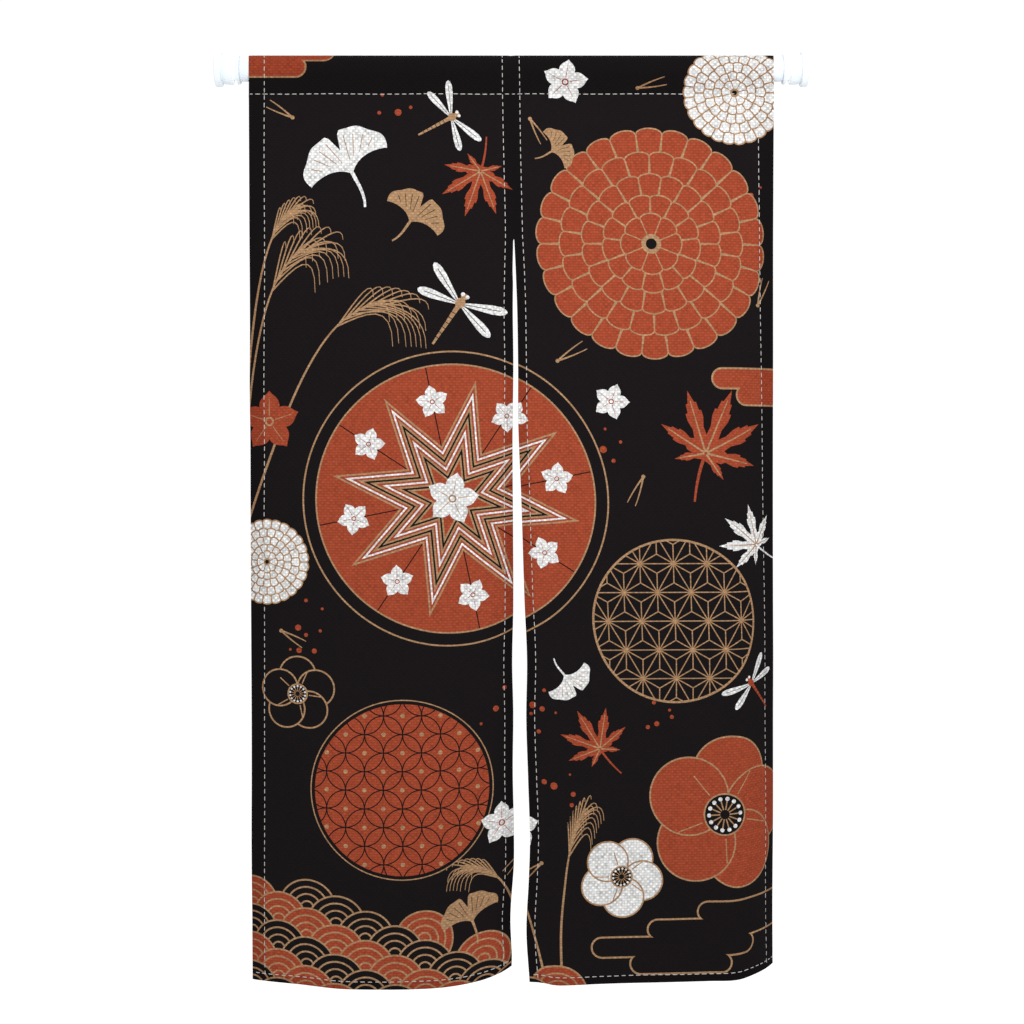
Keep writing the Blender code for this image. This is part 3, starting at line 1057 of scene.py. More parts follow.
BELLFLOWERS = (
    Motif(0.088, 0.060, 0.038, 10, "white", "vermilion"),
    Motif(-0.020, 1.272, 0.036, 0, "white", "vermilion"),
    Motif(0.150, 0.578, 0.030, 20, "white", "vermilion"),
    Motif(-0.392, 0.610, 0.050, 0, "vermilion"),
)
NEEDLES = (
    Motif(0.064, 0.512, 0.052, 60),
    Motif(0.030, 0.120, 0.044, 150),
    Motif(0.205, 0.070, 0.048, 75),
    Motif(-0.355, 0.118, 0.046, 300),
    Motif(0.198, 0.700, 0.050, 205),
    Motif(-0.372, 0.950, 0.044, 120),
    Motif(0.396, 0.420, 0.046, 20),
    Motif(0.020, 1.330, 0.046, 230),
)
GRASSES = (
    Grass(-0.445 + 0.780j, -0.425 + 0.560j, -0.415 + 0.360j, -0.330 + 0.330j, droop=1),
    Grass(-0.440 + 0.800j, -0.350 + 0.560j, -0.310 + 0.420j, -0.200 + 0.420j, droop=1),
    Grass(-0.430 + 0.560j, -0.420 + 0.420j, -0.400 + 0.290j, -0.355 + 0.270j, droop=1),
    Grass(0.030 + 1.560j, 0.020 + 1.440j, -0.010 + 1.340j, -0.075 + 1.335j, droop=-1),
    Grass(0.050 + 1.560j, 0.060 + 1.440j, 0.050 + 1.300j, 0.085 + 1.250j, droop=1),
)
MIST_TOP_LEFT = (
    Bar(-0.460, -0.270, -0.046),
    Bar(-0.500, -0.225, -0.019),
    Bar(-0.500, -0.305, 0.008),
    Bar(-0.500, -0.350, 0.035),
)
MIST_RIGHT = (
    Bar(0.330, 0.500, 0.540),
    Bar(0.370, 0.500, 0.567),
)
MIST_BOTTOM_RIGHT = (
    Bar(0.290, 0.500, 1.412),
    Bar(0.210, 0.500, 1.440),
    Bar(0.120, 0.350, 1.468),
    Bar(0.180, 0.310, 1.496),
)
SPRAYS = (
    Spray(-0.070, 0.505, reach=0.030, count=4, seed=3),
    Spray(0.120, 0.655, reach=0.045, count=8, seed=8),
    Spray(-0.330, 0.950, reach=0.050, count=8, seed=11),
    Spray(-0.010, 1.075, reach=0.060, count=9, seed=14),
    Spray(0.050, 1.205, reach=0.035, count=5, seed=17),
    Spray(-0.190, 0.100, reach=0.028, count=4, seed=20),
    Spray(0.215, 1.095, reach=0.030, count=5, seed=23),
    Spray(0.385, 0.245, reach=0.030, count=4, seed=31),
)


def print_outlines():
    """Every outline of the print, in the order in which they lie on each other."""
    outlines = []
    for grass in GRASSES:
        outlines += pampas(grass)
    outlines += mist(MIST_TOP_LEFT, "vermilion")
    outlines += mist(MIST_RIGHT, "vermilion")
    outlines += mist(MIST_BOTTOM_RIGHT, "ground")
    outlines += wave_hill()
    for spray in SPRAYS:
        outlines += berries(spray)
    for draw, motifs in (
        (linked_roundel, LINKED_ROUNDELS),
        (hemp_roundel, HEMP_ROUNDELS),
        (chrysanthemum, BLOSSOMS),
        (temari, BALLS),
        (camellia, CAMELLIAS),
        (maple_leaf, MAPLE_LEAVES),
        (ginkgo_leaf, GINKGO_LEAVES),
        (bellflower, BELLFLOWERS),
        (dragonfly, DRAGONFLIES),
        (pine_needles, NEEDLES),
    ):
        for motif in motifs:
            outlines += draw(motif)
    return outlines


# The form of the hanging cloth
def curve_values(rows, name, places):
    """A column's values on the smooth curve through the rows, at places along their first column."""
    knots = np.array([row[0] for row in rows])
    values = np.array([getattr(row, name) for row in rows])
    last = len(rows) - 1
    before = np.maximum(np.arange(last + 1) - 1, 0)
    after = np.minimum(np.arange(last + 1) + 1, last)
    slopes = (values[after] - values[before]) / (knots[after] - knots[before])
    at = np.clip(places, knots[0], knots[last])
    right = np.clip(np.searchsorted(knots, at), 1, last)
    left = right - 1
    span = knots[right] - knots[left]
    share = (at - knots[left]) / span
    return (
        values[left] * (1 + 2 * share) * (1 - share) ** 2
        + slopes[left] * span * share * (1 - share) ** 2
        + values[right] * (3 - 2 * share) * share**2
        - slopes[right] * span * (1 - share) * share**2
    )


def smooth_step(values, start, end):
    """0 up to the start, 1 from the end on, with a soft rise between them."""
    share = np.clip((values - start) / (end - start), 0, 1)
    return share * share * (3 - 2 * share)


def ridge(away, width):
    """1 on a line, and softly down to 0 beside it."""
    return np.exp(-((away / width) ** 2))


def pocket_wrap(stitch_out):
    """How far one side of the pocket turns round the rod, and its straight run down to the stitches."""
    height = CLOTH_TOP - POCKET_STITCH_DROP
    reach = math.hypot(stitch_out, height)
    turned = math.atan2(stitch_out, height) - math.acos(CLOTH_TOP / reach)
    return turned, math.sqrt(reach**2 - CLOTH_TOP**2)


def pocket_side(stitch_out, falls):
    """Distance out from the rod's axis, and height, of one side of the pocket and the cloth below it."""
    turned, straight = pocket_wrap(stitch_out)
    angles = np.minimum(falls / CLOTH_TOP, turned)
    along = np.clip(falls - CLOTH_TOP * turned, 0, straight)
    below = np.clip(falls - CLOTH_TOP * turned - straight, 0, None)
    out = CLOTH_TOP * np.sin(angles) + along * math.cos(turned)
    height = CLOTH_TOP * np.cos(angles) - along * math.sin(turned) - below
    return out, height


def pocket_fall(stitch_out):
    """The fall from the top of the rod to a stitch line."""
    turned, straight = pocket_wrap(stitch_out)
    return CLOTH_TOP * turned + straight


FRONT_STITCH_FALL = pocket_fall(FRONT_STITCH_OUT)
BACK_STITCH_FALL = -pocket_fall(BACK_STITCH_OUT)
FALL_START = BACK_STITCH_FALL - POCKET_EDGE
SLIT_HEAD_FALL = FRONT_STITCH_FALL + SEAM_FOOT_DROP - POCKET_STITCH_DROP
FALL_END = FRONT_STITCH_FALL + HEM_DROP - POCKET_STITCH_DROP
FLAT_LENGTH = FALL_END - FALL_START + BOTTOM_HEM + 2 * TURNED_UNDER


def softened(values):
    """A profile's values with its corners rounded."""
    reach = math.ceil(SOFTNESS_REACH * PROFILE_SOFTNESS / PROFILE_STEP)
    away = np.arange(-reach, reach + 1) * PROFILE_STEP / PROFILE_SOFTNESS
    weights = np.exp(-away**2 / 2)
    start = values[0] + (values[1] - values[0]) * np.arange(-reach, 0)
    end = values[-1] + (values[-1] - values[-2]) * np.arange(1, reach + 1)
    return np.convolve(np.concatenate([start, values, end]), weights / weights.sum(), mode="valid")


PROFILE_FALLS = np.arange(FALL_START, FALL_END + PROFILE_STEP, PROFILE_STEP)
FRONT_OUT, FRONT_HEIGHT = pocket_side(FRONT_STITCH_OUT, np.abs(PROFILE_FALLS))
BACK_OUT, BACK_HEIGHT = pocket_side(BACK_STITCH_OUT, np.abs(PROFILE_FALLS))
PROFILE_DEPTHS = softened(np.where(PROFILE_FALLS > 0, -FRONT_OUT, BACK_OUT))
PROFILE_HEIGHTS = softened(np.where(PROFILE_FALLS > 0, FRONT_HEIGHT, BACK_HEIGHT))


def fold_tables(panel):
    """How far across and how far back the folds carry the cloth, by growth down and by place across."""
    growths = np.linspace(0, 1, GROWTH_LEVELS)[:, None]
    turns = np.radians(curve_values(panel.folds, "turn", np.linspace(0, 1, FINE_PLACES))) * growths
    middle = (turns[:, 1:] + turns[:, :-1]) / 2
    start = np.zeros((GROWTH_LEVELS, 1))
    across = np.hstack([start, np.cumsum(np.cos(middle), axis=1)])
    back = np.hstack([start, np.cumsum(np.sin(middle), axis=1)]) * PANEL_WIDTH / (FINE_PLACES - 1)
    return across / across[:, -1:], back


def table_values(table, rows, columns):
    """Values between a table's entries, at fractional rows and columns."""
    upper = np.clip(rows.astype(int), 0, table.shape[0] - 2)
    left = np.clip(columns.astype(int), 0, table.shape[1] - 2)
    down = rows - upper
    along = columns - left
    above = table[upper, left] * (1 - along) + table[upper, left + 1] * along
    below = table[upper + 1, left] * (1 - along) + table[upper + 1, left + 1] * along
    return above * (1 - down) + below * down


def slit_edges(panel, drops):
    """X and depth of the edge that a panel turns to the other one. Down to the slit it is the seam."""
    down_seam = np.clip(drops / SEAM_FOOT_DROP, 0, 1)
    lap = SEAM_LAP if panel.slit_on_right else -SEAM_LAP
    seam_x = SEAM_TOP_X + (SEAM_FOOT_X - SEAM_TOP_X) * down_seam
    seam_x += lap * smooth_step(1 - down_seam, 0, SEAM_LAP_END)
    seam_depth = SEAM_FOOT_DEPTH * np.clip(drops - POCKET_DROP, 0, None) / (SEAM_FOOT_DROP - POCKET_DROP)
    sewn = drops < SEAM_FOOT_DROP
    x = np.where(sewn, seam_x, curve_values(panel.slit, "x", drops))
    depth = np.where(sewn, seam_depth, curve_values(panel.slit, "depth", drops))
    return x, depth


def mouth_pull(panel, across, drops):
    """How far the cloth beside the slit's top is drawn to the right."""
    opened = smooth_step(drops, SEAM_FOOT_DROP, SEAM_FOOT_DROP + MOUTH_RISE)
    closed = smooth_step(drops, MOUTH_FADE_START, MOUTH_FADE_END)
    return panel.mouth_pull * opened * (1 - closed) * np.exp(-np.abs(across) / MOUTH_REACH)


def smooth_cloth(panel, tables, across, falls):
    """Points of the printed face before its creases and sewing."""
    place = (across - panel.start) / PANEL_WIDTH
    height = np.interp(falls, PROFILE_FALLS, PROFILE_HEIGHTS)
    drops = CLOTH_TOP - height
    level = curve_values(FOLD_GROWTH, "share", drops) * (GROWTH_LEVELS - 1)
    share = table_values(tables[0], level, place * (FINE_PLACES - 1))
    back = table_values(tables[1], level, place * (FINE_PLACES - 1))
    depth = np.interp(falls, PROFILE_FALLS, PROFILE_DEPTHS)

    # The outer edge is given as the camera sees it, so it is drawn in where the cloth lies nearer
    drawn_in = 1 + np.minimum(depth, 0) / CAMERA_DISTANCE
    outer_x = curve_values(panel.outer, "x", drops) * drawn_in
    slit_x, slit_depth = slit_edges(panel, drops)
    left_x, right_x = (outer_x, slit_x) if panel.slit_on_right else (slit_x, outer_x)
    down = np.clip((drops - POCKET_DROP) / (HEM_DROP - POCKET_DROP), 0, None)
    x = left_x + (right_x - left_x) * share + mouth_pull(panel, across, drops)

    # The folds' depth counts from the slit's edge, which has a depth of its own
    slit_place = np.full_like(place, FINE_PLACES - 1.0 if panel.slit_on_right else 0.0)
    y = depth + slit_depth + back - table_values(tables[1], level, slit_place)
    z = height + curve_values(panel.folds, "lift", place) * down**LIFT_POWER
    return np.column_stack([x, y, z])


def outward(panel, tables, across, falls):
    """Unit normals of the printed face."""
    def beside(right, down):
        return smooth_cloth(panel, tables, across + right, falls + down)

    width = beside(NORMAL_REACH, 0) - beside(-NORMAL_REACH, 0)
    length = beside(0, NORMAL_REACH) - beside(0, -NORMAL_REACH)
    normals = np.cross(length, width)
    return normals / np.linalg.norm(normals, axis=1)[:, None]


class SewnLine(NamedTuple):
    upright: bool
    at: float
    seed: float


def sewn_lines(panel):
    """The lines of stitches: at an across for the upright ones, at a fall for the level ones."""
    left_hem, right_hem = panel.hems
    return [
        SewnLine(True, panel.start + left_hem, 1.0),
        SewnLine(True, panel.end - right_hem, 2.0),
        SewnLine(False, FRONT_STITCH_FALL, 3.0),
        SewnLine(False, BACK_STITCH_FALL, 3.0),
        SewnLine(False, FALL_END - BOTTOM_HEM, 4.0),
    ]


def sewn_relief(line, across, falls):
    """How a line of stitches dents the printed face and puckers the cloth beside it."""
    away = (across if line.upright else falls) - line.at
    along = falls if line.upright else across
    pull = sum(
        np.sin(2 * math.pi * along / wave + line.seed + wave * PUCKER_PHASE) for wave in PUCKER_WAVES
    ) / len(PUCKER_WAVES)
    groove = GROOVE_DEPTH * ridge(away * GROOVE_SHARPNESS, GROOVE_WIDTH)
    return PUCKER * pull * ridge(away, PUCKER_REACH) - groove


def relief(panel, across, falls):
    """How far the creases and the sewing lift the printed face."""
    height = np.zeros_like(across)
    for crease in panel.creases:
        down = falls - crease.fall
        away = across - crease.across - crease.lean * down
        height += crease.height * ridge(away, crease.width) * ridge(down, crease.length / 2)
    for line in sewn_lines(panel):
        height += sewn_relief(line, across, falls)
    from_sides = np.minimum(across - panel.start, panel.end - across)
    from_ends = np.minimum(falls - FALL_START, FALL_END - falls)
    height -= EDGE_ROLL * ridge(np.minimum(from_sides, from_ends), EDGE_ROLL_WIDTH)
    from_slit = panel.end - across if panel.slit_on_right else across - panel.start
    sewn = 1 - smooth_step(falls, SLIT_HEAD_FALL - SEAM_ROLL_FADE, SLIT_HEAD_FALL)
    return height - sewn * SEAM_ROLL * ridge(from_slit, SEAM_ROLL_WIDTH)


def hem_layers(panel, across, falls):
    """1 where a hem lies double, 0 on the single cloth, with a step at the hem's inner edge."""
    left_hem, right_hem = panel.hems
    layers = np.zeros_like(across)
    for from_edge, hem in (
        (across - panel.start, left_hem),
        (panel.end - across, right_hem),
        (FALL_END - falls, BOTTOM_HEM),
    ):
        inner = hem + HEM_MARGIN
        single = smooth_step(from_edge, inner - HEM_RAMP / 2, inner + HEM_RAMP / 2)
        layers = np.maximum(layers, 1 - single)
    return layers


def pressed(falls):
    """0 where the pocket's stitches press its two sides together, 1 away from there."""
    edge_start = POCKET_EDGE + PRESS_START
    below_front = smooth_step(np.abs(falls - FRONT_STITCH_FALL), edge_start, edge_start + PRESS_FADE)
    above_front = smooth_step(FRONT_STITCH_FALL - falls, PRESS_START, HEM_PRESSED)
    above_back = smooth_step(falls - BACK_STITCH_FALL, PRESS_START, HEM_PRESSED)
    front = np.maximum(above_front, below_front * (falls > FRONT_STITCH_FALL))
    return np.where(falls < 0, above_back, front)


def thickness(panel, across, falls):
    return SHEET + HEM_LAYER * hem_layers(panel, across, falls) * pressed(falls)


# The cloth's mesh, cut along the edges of the print
def upright_line(across, falls):
    """Points down the flat cloth, all at one place across."""
    return np.column_stack([np.full_like(falls, across), falls])


def level_line(across, fall):
    """Points across the flat cloth, all at one fall."""
    return np.column_stack([across, np.full_like(across, fall)])


def line_points(panel, line, away):
    """Points beside a sewn line, at a distance from it."""
    if line.upright:
        return upright_line(line.at + away, np.arange(FALL_START + LINE_STEP / 2, FALL_END, LINE_STEP))
    return level_line(np.arange(panel.start + LINE_STEP / 2, panel.end, LINE_STEP), line.at + away)


def grid_points(panel):
    """Points of an even net, closer together round the rod."""
    columns = np.linspace(panel.start, panel.end, round(PANEL_WIDTH / GRID_ACROSS) + 1)[1:-1]
    pocket_end = FRONT_STITCH_FALL + POCKET_GRID_END
    rows = np.concatenate([
        np.arange(FALL_START + POCKET_GRID_FALL, pocket_end, POCKET_GRID_FALL),
        np.linspace(pocket_end, FALL_END, round((FALL_END - pocket_end) / GRID_FALL) + 1)[:-1],
    ])
    across, falls = np.meshgrid(columns, rows)
    across[1::2] += (columns[1] - columns[0]) / 2
    net = np.column_stack([across.ravel(), falls.ravel()])
    return net[net[:, 0] < panel.end - GRID_CLEAR_OF_SIDE]


def chain_edges(first, count):
    """Edges that join points one after the other."""
    return [(first + i, first + i + 1) for i in range(count - 1)]


def rim_ring(panel):
    """Points round the flat cloth's outline, close together where the slit's edges spring apart."""
    corners = np.array([
        (panel.start, FALL_START),
        (panel.end, FALL_START),
        (panel.end, FALL_END),
        (panel.start, FALL_END),
    ])
    slit_across = panel.end if panel.slit_on_right else panel.start
    mouth = np.arange(SLIT_HEAD_FALL - MOUTH_STEP, SLIT_HEAD_FALL + 2 * MOUTH_RISE, MOUTH_STEP)
    ring = []
    for start, end in zip(corners, np.roll(corners, -1, axis=0)):
        along = end - start
        count = round(np.linalg.norm(along) / EDGE_STEP)
        shares = np.arange(count) / count
        if along[0] == 0 and start[0] == slit_across:
            shares = np.union1d(shares, (mouth - start[1]) / along[1])
        ring.append(start + np.outer(shares, along))
    return np.vstack(ring)


def hem_step_lines(panel):
    """Both sides of the step at each hem's inner edge."""
    left_hem, right_hem = panel.hems
    falls = np.arange(FALL_START, FALL_END, LINE_STEP)
    across = np.arange(panel.start + LINE_STEP, panel.end, LINE_STEP)
    for side in (-HEM_RAMP / 2, HEM_RAMP / 2):
        yield upright_line(panel.start + left_hem + HEM_MARGIN + side, falls)
        yield upright_line(panel.end - right_hem - HEM_MARGIN - side, falls)
        yield level_line(across, FALL_END - BOTTOM_HEM - HEM_MARGIN + side)


def short_steps(points):
    """A closed outline with every chord that is too long cut into equal parts."""
    outline = []
    for start, end in zip(points, np.roll(points, -1)):
        length = abs(end - start)
        if length > 2 * MERGE_DISTANCE:
            count = math.ceil(length / LONGEST_CHORD)
            outline.extend(start + (end - start) * np.arange(count) / count)
    return np.array(outline)


def print_chains(panel, outlines, first):
    """The print's outlines on and near a panel: their points, numbered from first, and their edges."""
    points = []
    edges = []
    beyond = 2 * LONGEST_CHORD
    for outline in outlines:
        ring = short_steps(outline.points)
        near = (ring.real > panel.start - beyond) & (ring.real < panel.end + beyond)
        near &= ring.imag < FALL_END + beyond
        numbers = first + np.cumsum(near) - 1
        joined = near & np.roll(near, -1)
        edges += zip(numbers[joined].tolist(), np.roll(numbers, -1)[joined].tolist())
        points.append(np.column_stack([ring.real, ring.imag])[near])
        first += near.sum()
    return np.vstack(points), edges


def clear_of(points, others, distance):
    """The points that have none of the others nearby."""
    def squares(at):
        return np.floor(at[:, 0] / distance) + 1j * np.floor(at[:, 1] / distance)

    sides = (-distance, 0, distance)
    taken = [squares(others + np.array([side, fall])) for side in sides for fall in sides]
    return points[~np.isin(squares(points), np.concatenate(taken))]


def flat_cloth(panel, outlines):
    """Points and triangles of the flat cloth, with the edges of the hems and of the print among them."""
    rim = rim_ring(panel)
    fixed = rim
    edges = [*chain_edges(0, len(rim)), (len(rim) - 1, 0)]
    for line in hem_step_lines(panel):
        edges += chain_edges(len(fixed), len(line))
        fixed = np.vstack([fixed, line])
    print_points, print_edges = print_chains(panel, outlines, len(fixed))
    fixed = np.vstack([fixed, print_points])
    edges += print_edges
    beside = [line_points(panel, line, away) for line in sewn_lines(panel) for away in BESIDE_LINE]
    fixed = np.vstack([fixed, clear_of(np.vstack(beside), fixed, CLEAR_OF_EDGES)])
    every = np.vstack([fixed, clear_of(grid_points(panel), fixed, CLEAR_OF_PRINT)])
    made = delaunay_2d_cdt([Vector(point) for point in every], edges, [], 0, MERGE_DISTANCE, False)
    return inside_outline(panel, np.array([tuple(point) for point in made[0]]), np.array(made[2]))


def inside_outline(panel, flat, triangles):
    """The triangles on the cloth, each turned the same way, and only the points that they use."""
    across, falls = flat[triangles].mean(axis=1).T
    kept = (across > panel.start) & (across < panel.end) & (falls > FALL_START) & (falls < FALL_END)
    triangles = triangles[kept]
    first = flat[triangles[:, 1]] - flat[triangles[:, 0]]
    second = flat[triangles[:, 2]] - flat[triangles[:, 0]]
    area = first[:, 0] * second[:, 1] - first[:, 1] * second[:, 0]
    triangles = np.where((area < 0)[:, None], triangles[:, ::-1], triangles)
    used, fresh = np.unique(triangles, return_inverse=True)
    return flat[used], fresh.reshape(triangles.shape)


def inside_ring(points, ring):
    """Which points an outline goes round an odd number of times."""
    inside = np.zeros(len(points), dtype=bool)
    for start, end in zip(ring, np.roll(ring, -1)):
        low, high = sorted((start.imag, end.imag))
        spans = (points.imag >= low) & (points.imag < high)

        # A level chord spans no point, so its slope may be anything
        slope = (end.real - start.real) / (end.imag - start.imag or 1)
        inside ^= spans & (points.real < start.real + (points.imag - start.imag) * slope)
    return inside


def triangle_inks(middles, outlines):
    """The colour of the print at the middle of each triangle, as an index into the inks."""
    names = list(INKS)
    middles = middles[:, 0] + 1j * middles[:, 1]
    inks = np.zeros(len(middles), dtype=int)
    for outline in outlines:
        ring = outline.points
        near = (middles.real > ring.real.min()) & (middles.real < ring.real.max())
        near &= (middles.imag > ring.imag.min()) & (middles.imag < ring.imag.max())
        candidates = np.flatnonzero(near)
        inside = inside_ring(middles[candidates], ring)
        inks[candidates[inside]] = names.index(outline.ink)
    return inks


def boundary_edges(triangles):
    """Edges that only one triangle has, in that triangle's direction, and the number of the triangle."""
    edges = np.vstack([triangles[:, [0, 1]], triangles[:, [1, 2]], triangles[:, [2, 0]]])
    owner = np.tile(np.arange(len(triangles)), 3)
    keys = np.sort(edges, axis=1)
    _, first, counts = np.unique(keys, axis=0, return_index=True, return_counts=True)
    return edges[first[counts == 1]], owner[first[counts == 1]]


def add_colours(mesh, colours):
    """One colour for each face, kept at its corners."""
    per_corner = np.repeat(colours, [face.loop_total for face in mesh.polygons], axis=0)
    layer = mesh.color_attributes.new("print", "FLOAT_COLOR", "CORNER")
    layer.data.foreach_set("color", np.column_stack([per_corner, np.ones(len(per_corner))]).ravel())


def add_corner_map(mesh, name, points):
    layer = mesh.uv_layers.new(name=name)
    layer.data.foreach_set("uv", points.astype(np.float32).ravel())


def add_values(mesh, name, values):
    mesh.attributes.new(name, "FLOAT", "POINT").data.foreach_set("value", values.astype(np.float32))


def bake_places(panel, flat, triangles, rim):
    """Corners' places on the bake's map: face on the left, back on the right, rim beside the face."""
    along = (flat[:, 0] - panel.start) / PANEL_WIDTH
    down = (flat[:, 1] - FALL_START) / (FALL_END - FALL_START)
    face = np.column_stack([BAKE_MARGIN + BAKE_FACE * along, BAKE_MARGIN + BAKE_FALL * down])
    back = face + np.array([BAKE_BACK_START, 0.0])
    ends = flat[rim]
    middles = ends.mean(axis=1)
    upright = np.isclose(ends[:, 0, 0], ends[:, 1, 0])
    sideways = np.where(upright, np.sign(middles[:, 0] - panel.start - PANEL_WIDTH / 2), 0.0)
    downwards = np.where(upright, 0.0, np.sign(middles[:, 1]))
    outwards = BAKE_RIM * np.column_stack([sideways, downwards])
    first = face[rim[:, 0]]
    last = face[rim[:, 1]]
    rim_places = np.stack([first, last, last + outwards, first + outwards], axis=1)
    face_places = face[triangles[:, ::-1].ravel()]
    return np.vstack([face_places, back[triangles.ravel()], rim_places.reshape(-1, 2)])


def face_colours(panel, middles, inks, rim_inks):
    """Colours of the printed face, of the back with its turned hems, and of the rim."""
    colours = np.array(list(INKS.values()))
    hemmed = hem_layers(panel, *middles.T)[:, None] > 0.5
    shown_through = colours[inks] * SHOW_THROUGH + np.array(UNPRINTED) * (1 - SHOW_THROUGH)
    return np.vstack([colours[inks], np.where(hemmed, colours[inks], shown_through), colours[rim_inks]])


def make_cloth(panel, outlines):
    """A panel as a closed sheet: the printed face, the back with its hems, and the rim between them."""
    tables = fold_tables(panel)
    flat, triangles = flat_cloth(panel, outlines)
    normals = outward(panel, tables, *flat.T)
    face = smooth_cloth(panel, tables, *flat.T) + normals * relief(panel, *flat.T)[:, None]
    back = face - normals * thickness(panel, *flat.T)[:, None]
    rim, rim_owner = boundary_edges(triangles)
    count = len(flat)
    rim_quads = np.column_stack([rim[:, 0], rim[:, 1], rim[:, 1] + count, rim[:, 0] + count])
    faces = [*triangles[:, ::-1].tolist(), *(triangles + count).tolist(), *rim_quads.tolist()]
    mesh = bpy.data.meshes.new(panel.name)
    mesh.from_pydata(np.vstack([face, back]), [], faces)
    mesh.update()
    middles = flat[triangles].mean(axis=1)
    inks = triangle_inks(middles, outlines)
    add_colours(mesh, face_colours(panel, middles, inks, inks[rim_owner]))
    # The pocket and the hems get a painted shade, since two layers let less light through than one
    pocket = 1 - smooth_step(flat[:, 1], FRONT_STITCH_FALL, FRONT_STITCH_FALL + POCKET_SHADE_FADE)
    double = np.maximum(hem_layers(panel, *flat.T), pocket)
    add_values(mesh, "double_layer_shade", np.concatenate([double, double]))
    corners = np.zeros(len(mesh.loops), dtype=np.int32)
    mesh.loops.foreach_get("vertex_index", corners)
    add_corner_map(mesh, "Cloth", np.vstack([flat, flat])[corners])
    add_corner_map(mesh, "OFBake", bake_places(panel, flat, triangles, rim))
    mesh.shade_smooth()
    mesh.set_sharp_from_angle(angle=SHARP_ANGLE)
    return mesh


# Node trees, with their arithmetic written as plain sums
def calc(tree, operation, first, second=0.0):
    """The result of a Math node."""
    return add_node(tree, "ShaderNodeMath", 0, {0: first, 1: second}, operation=operation)


class Value:
    """A result in a node tree. A sum with it makes the Math node that works the sum out."""

    def __init__(self, tree, socket):
        self.tree = tree
        self.socket = socket

    def __add__(self, other):
        return calc(self.tree, "ADD", self, other)

    def __sub__(self, other):
        return calc(self.tree, "SUBTRACT", self, other)

    def __rsub__(self, other):
        return calc(self.tree, "SUBTRACT", other, self)

    def __mul__(self, other):
        return calc(self.tree, "MULTIPLY", self, other)

    def __pow__(self, other):
        return calc(self.tree, "POWER", self, other)

    def __abs__(self):
        return calc(self.tree, "ABSOLUTE", self)


def plug(source, target):
    """Join a result, or set a number, name, vector or colour, into a socket."""
    if isinstance(source, Value):
        source.tree.links.new(source.socket, target)
    else:
        target.default_value = source


def add_node(tree, kind, output, sockets, **settings):
    """One result of a new node, with its settings, and its sockets filled by name or number."""
    node = tree.nodes.new(kind)
    for name, value in settings.items():
        setattr(node, name, value)
    for name, value in sockets.items():
        plug(value, node.inputs[name])
    return Value(tree, node.outputs[output])


def scaled(vector, factor):
    """A vector times a number."""
    sockets = {0: vector, "Scale": factor}
    return add_node(vector.tree, "ShaderNodeVectorMath", 0, sockets, operation="SCALE")


# The stitches, laid by Geometry Nodes along the sewn lines
class SocketPlan(NamedTuple):
    name: str
    kind: str
    value: float


STITCH_INPUTS = (
    SocketPlan("Thread step", "NodeSocketFloat", THREAD_STEP),
    SocketPlan("Steps in a stitch", "NodeSocketInt", STEPS_IN_STITCH),
    SocketPlan("Fewest points", "NodeSocketInt", FEWEST_STITCH_POINTS),
    SocketPlan("Thread width", "NodeSocketFloat", THREAD_WIDTH),
    SocketPlan("Thread flatness", "NodeSocketFloat", THREAD_FLATNESS),
    SocketPlan("Thread sides", "NodeSocketInt", THREAD_SIDES),
    SocketPlan("Dip at the ends", "NodeSocketFloat", THREAD_DIP),
    SocketPlan("Wander", "NodeSocketFloat", THREAD_WANDER),
    SocketPlan("Seed", "NodeSocketInt", THREAD_SEED),
)
DIP_POWER = 5.0
TAPER_POWER = 4.0
TAPER = 0.45


def geometry(tree, kind, output, sockets, **settings):
    """One result of a new node of Geometry Nodes."""
    return add_node(tree, "GeometryNode" + kind, output, sockets, **settings)


def read_attribute(tree, name, kind):
    return geometry(tree, "InputNamedAttribute", "Attribute", {"Name": name}, data_type=kind)


def cut_into_stitches(tree, given):
    """Runs of points along every line: one stitch, one gap, and so on."""
    lines = geometry(tree, "MeshToCurve", "Curve", {"Mesh": given["Lines"]})
    sockets = {"Curve": lines, "Length": given["Thread step"]}
    even = geometry(tree, "ResampleCurve", "Curve", sockets, mode="LENGTH")

    # One point in the steps of each stitch is taken out, which leaves a gap two steps long
    steps = given["Steps in a stitch"]
    place = geometry(tree, "SplineParameter", "Index", {}) + read_attribute(tree, "first_step", "FLOAT")
    turn = calc(tree, "FLOORED_MODULO", place + 0.5, steps)
    sockets = {"Geometry": even, "Name": "gap", "Value": calc(tree, "GREATER_THAN", turn, steps - 1.0)}
    marked = geometry(tree, "StoreNamedAttribute", "Geometry", sockets)
    wires = geometry(tree, "CurveToMesh", "Mesh", {"Curve": marked})
    sockets = {"Geometry": wires, "Selection": read_attribute(tree, "gap", "FLOAT")}
    cut = geometry(tree, "DeleteGeometry", "Geometry", sockets, domain="POINT")
    runs = geometry(tree, "MeshToCurve", "Curve", {"Mesh": cut})
    points = geometry(tree, "SplineLength", "Point Count", {})
    sockets = {"Geometry": runs, "Selection": calc(tree, "LESS_THAN", points, given["Fewest points"])}
    return geometry(tree, "DeleteGeometry", "Geometry", sockets, domain="CURVE")


def from_middle(tree):
    """How far along from its middle a point of a stitch lies, as a share of half its length."""
    return abs(geometry(tree, "SplineParameter", "Factor", {}) * 2.0 - 1.0)


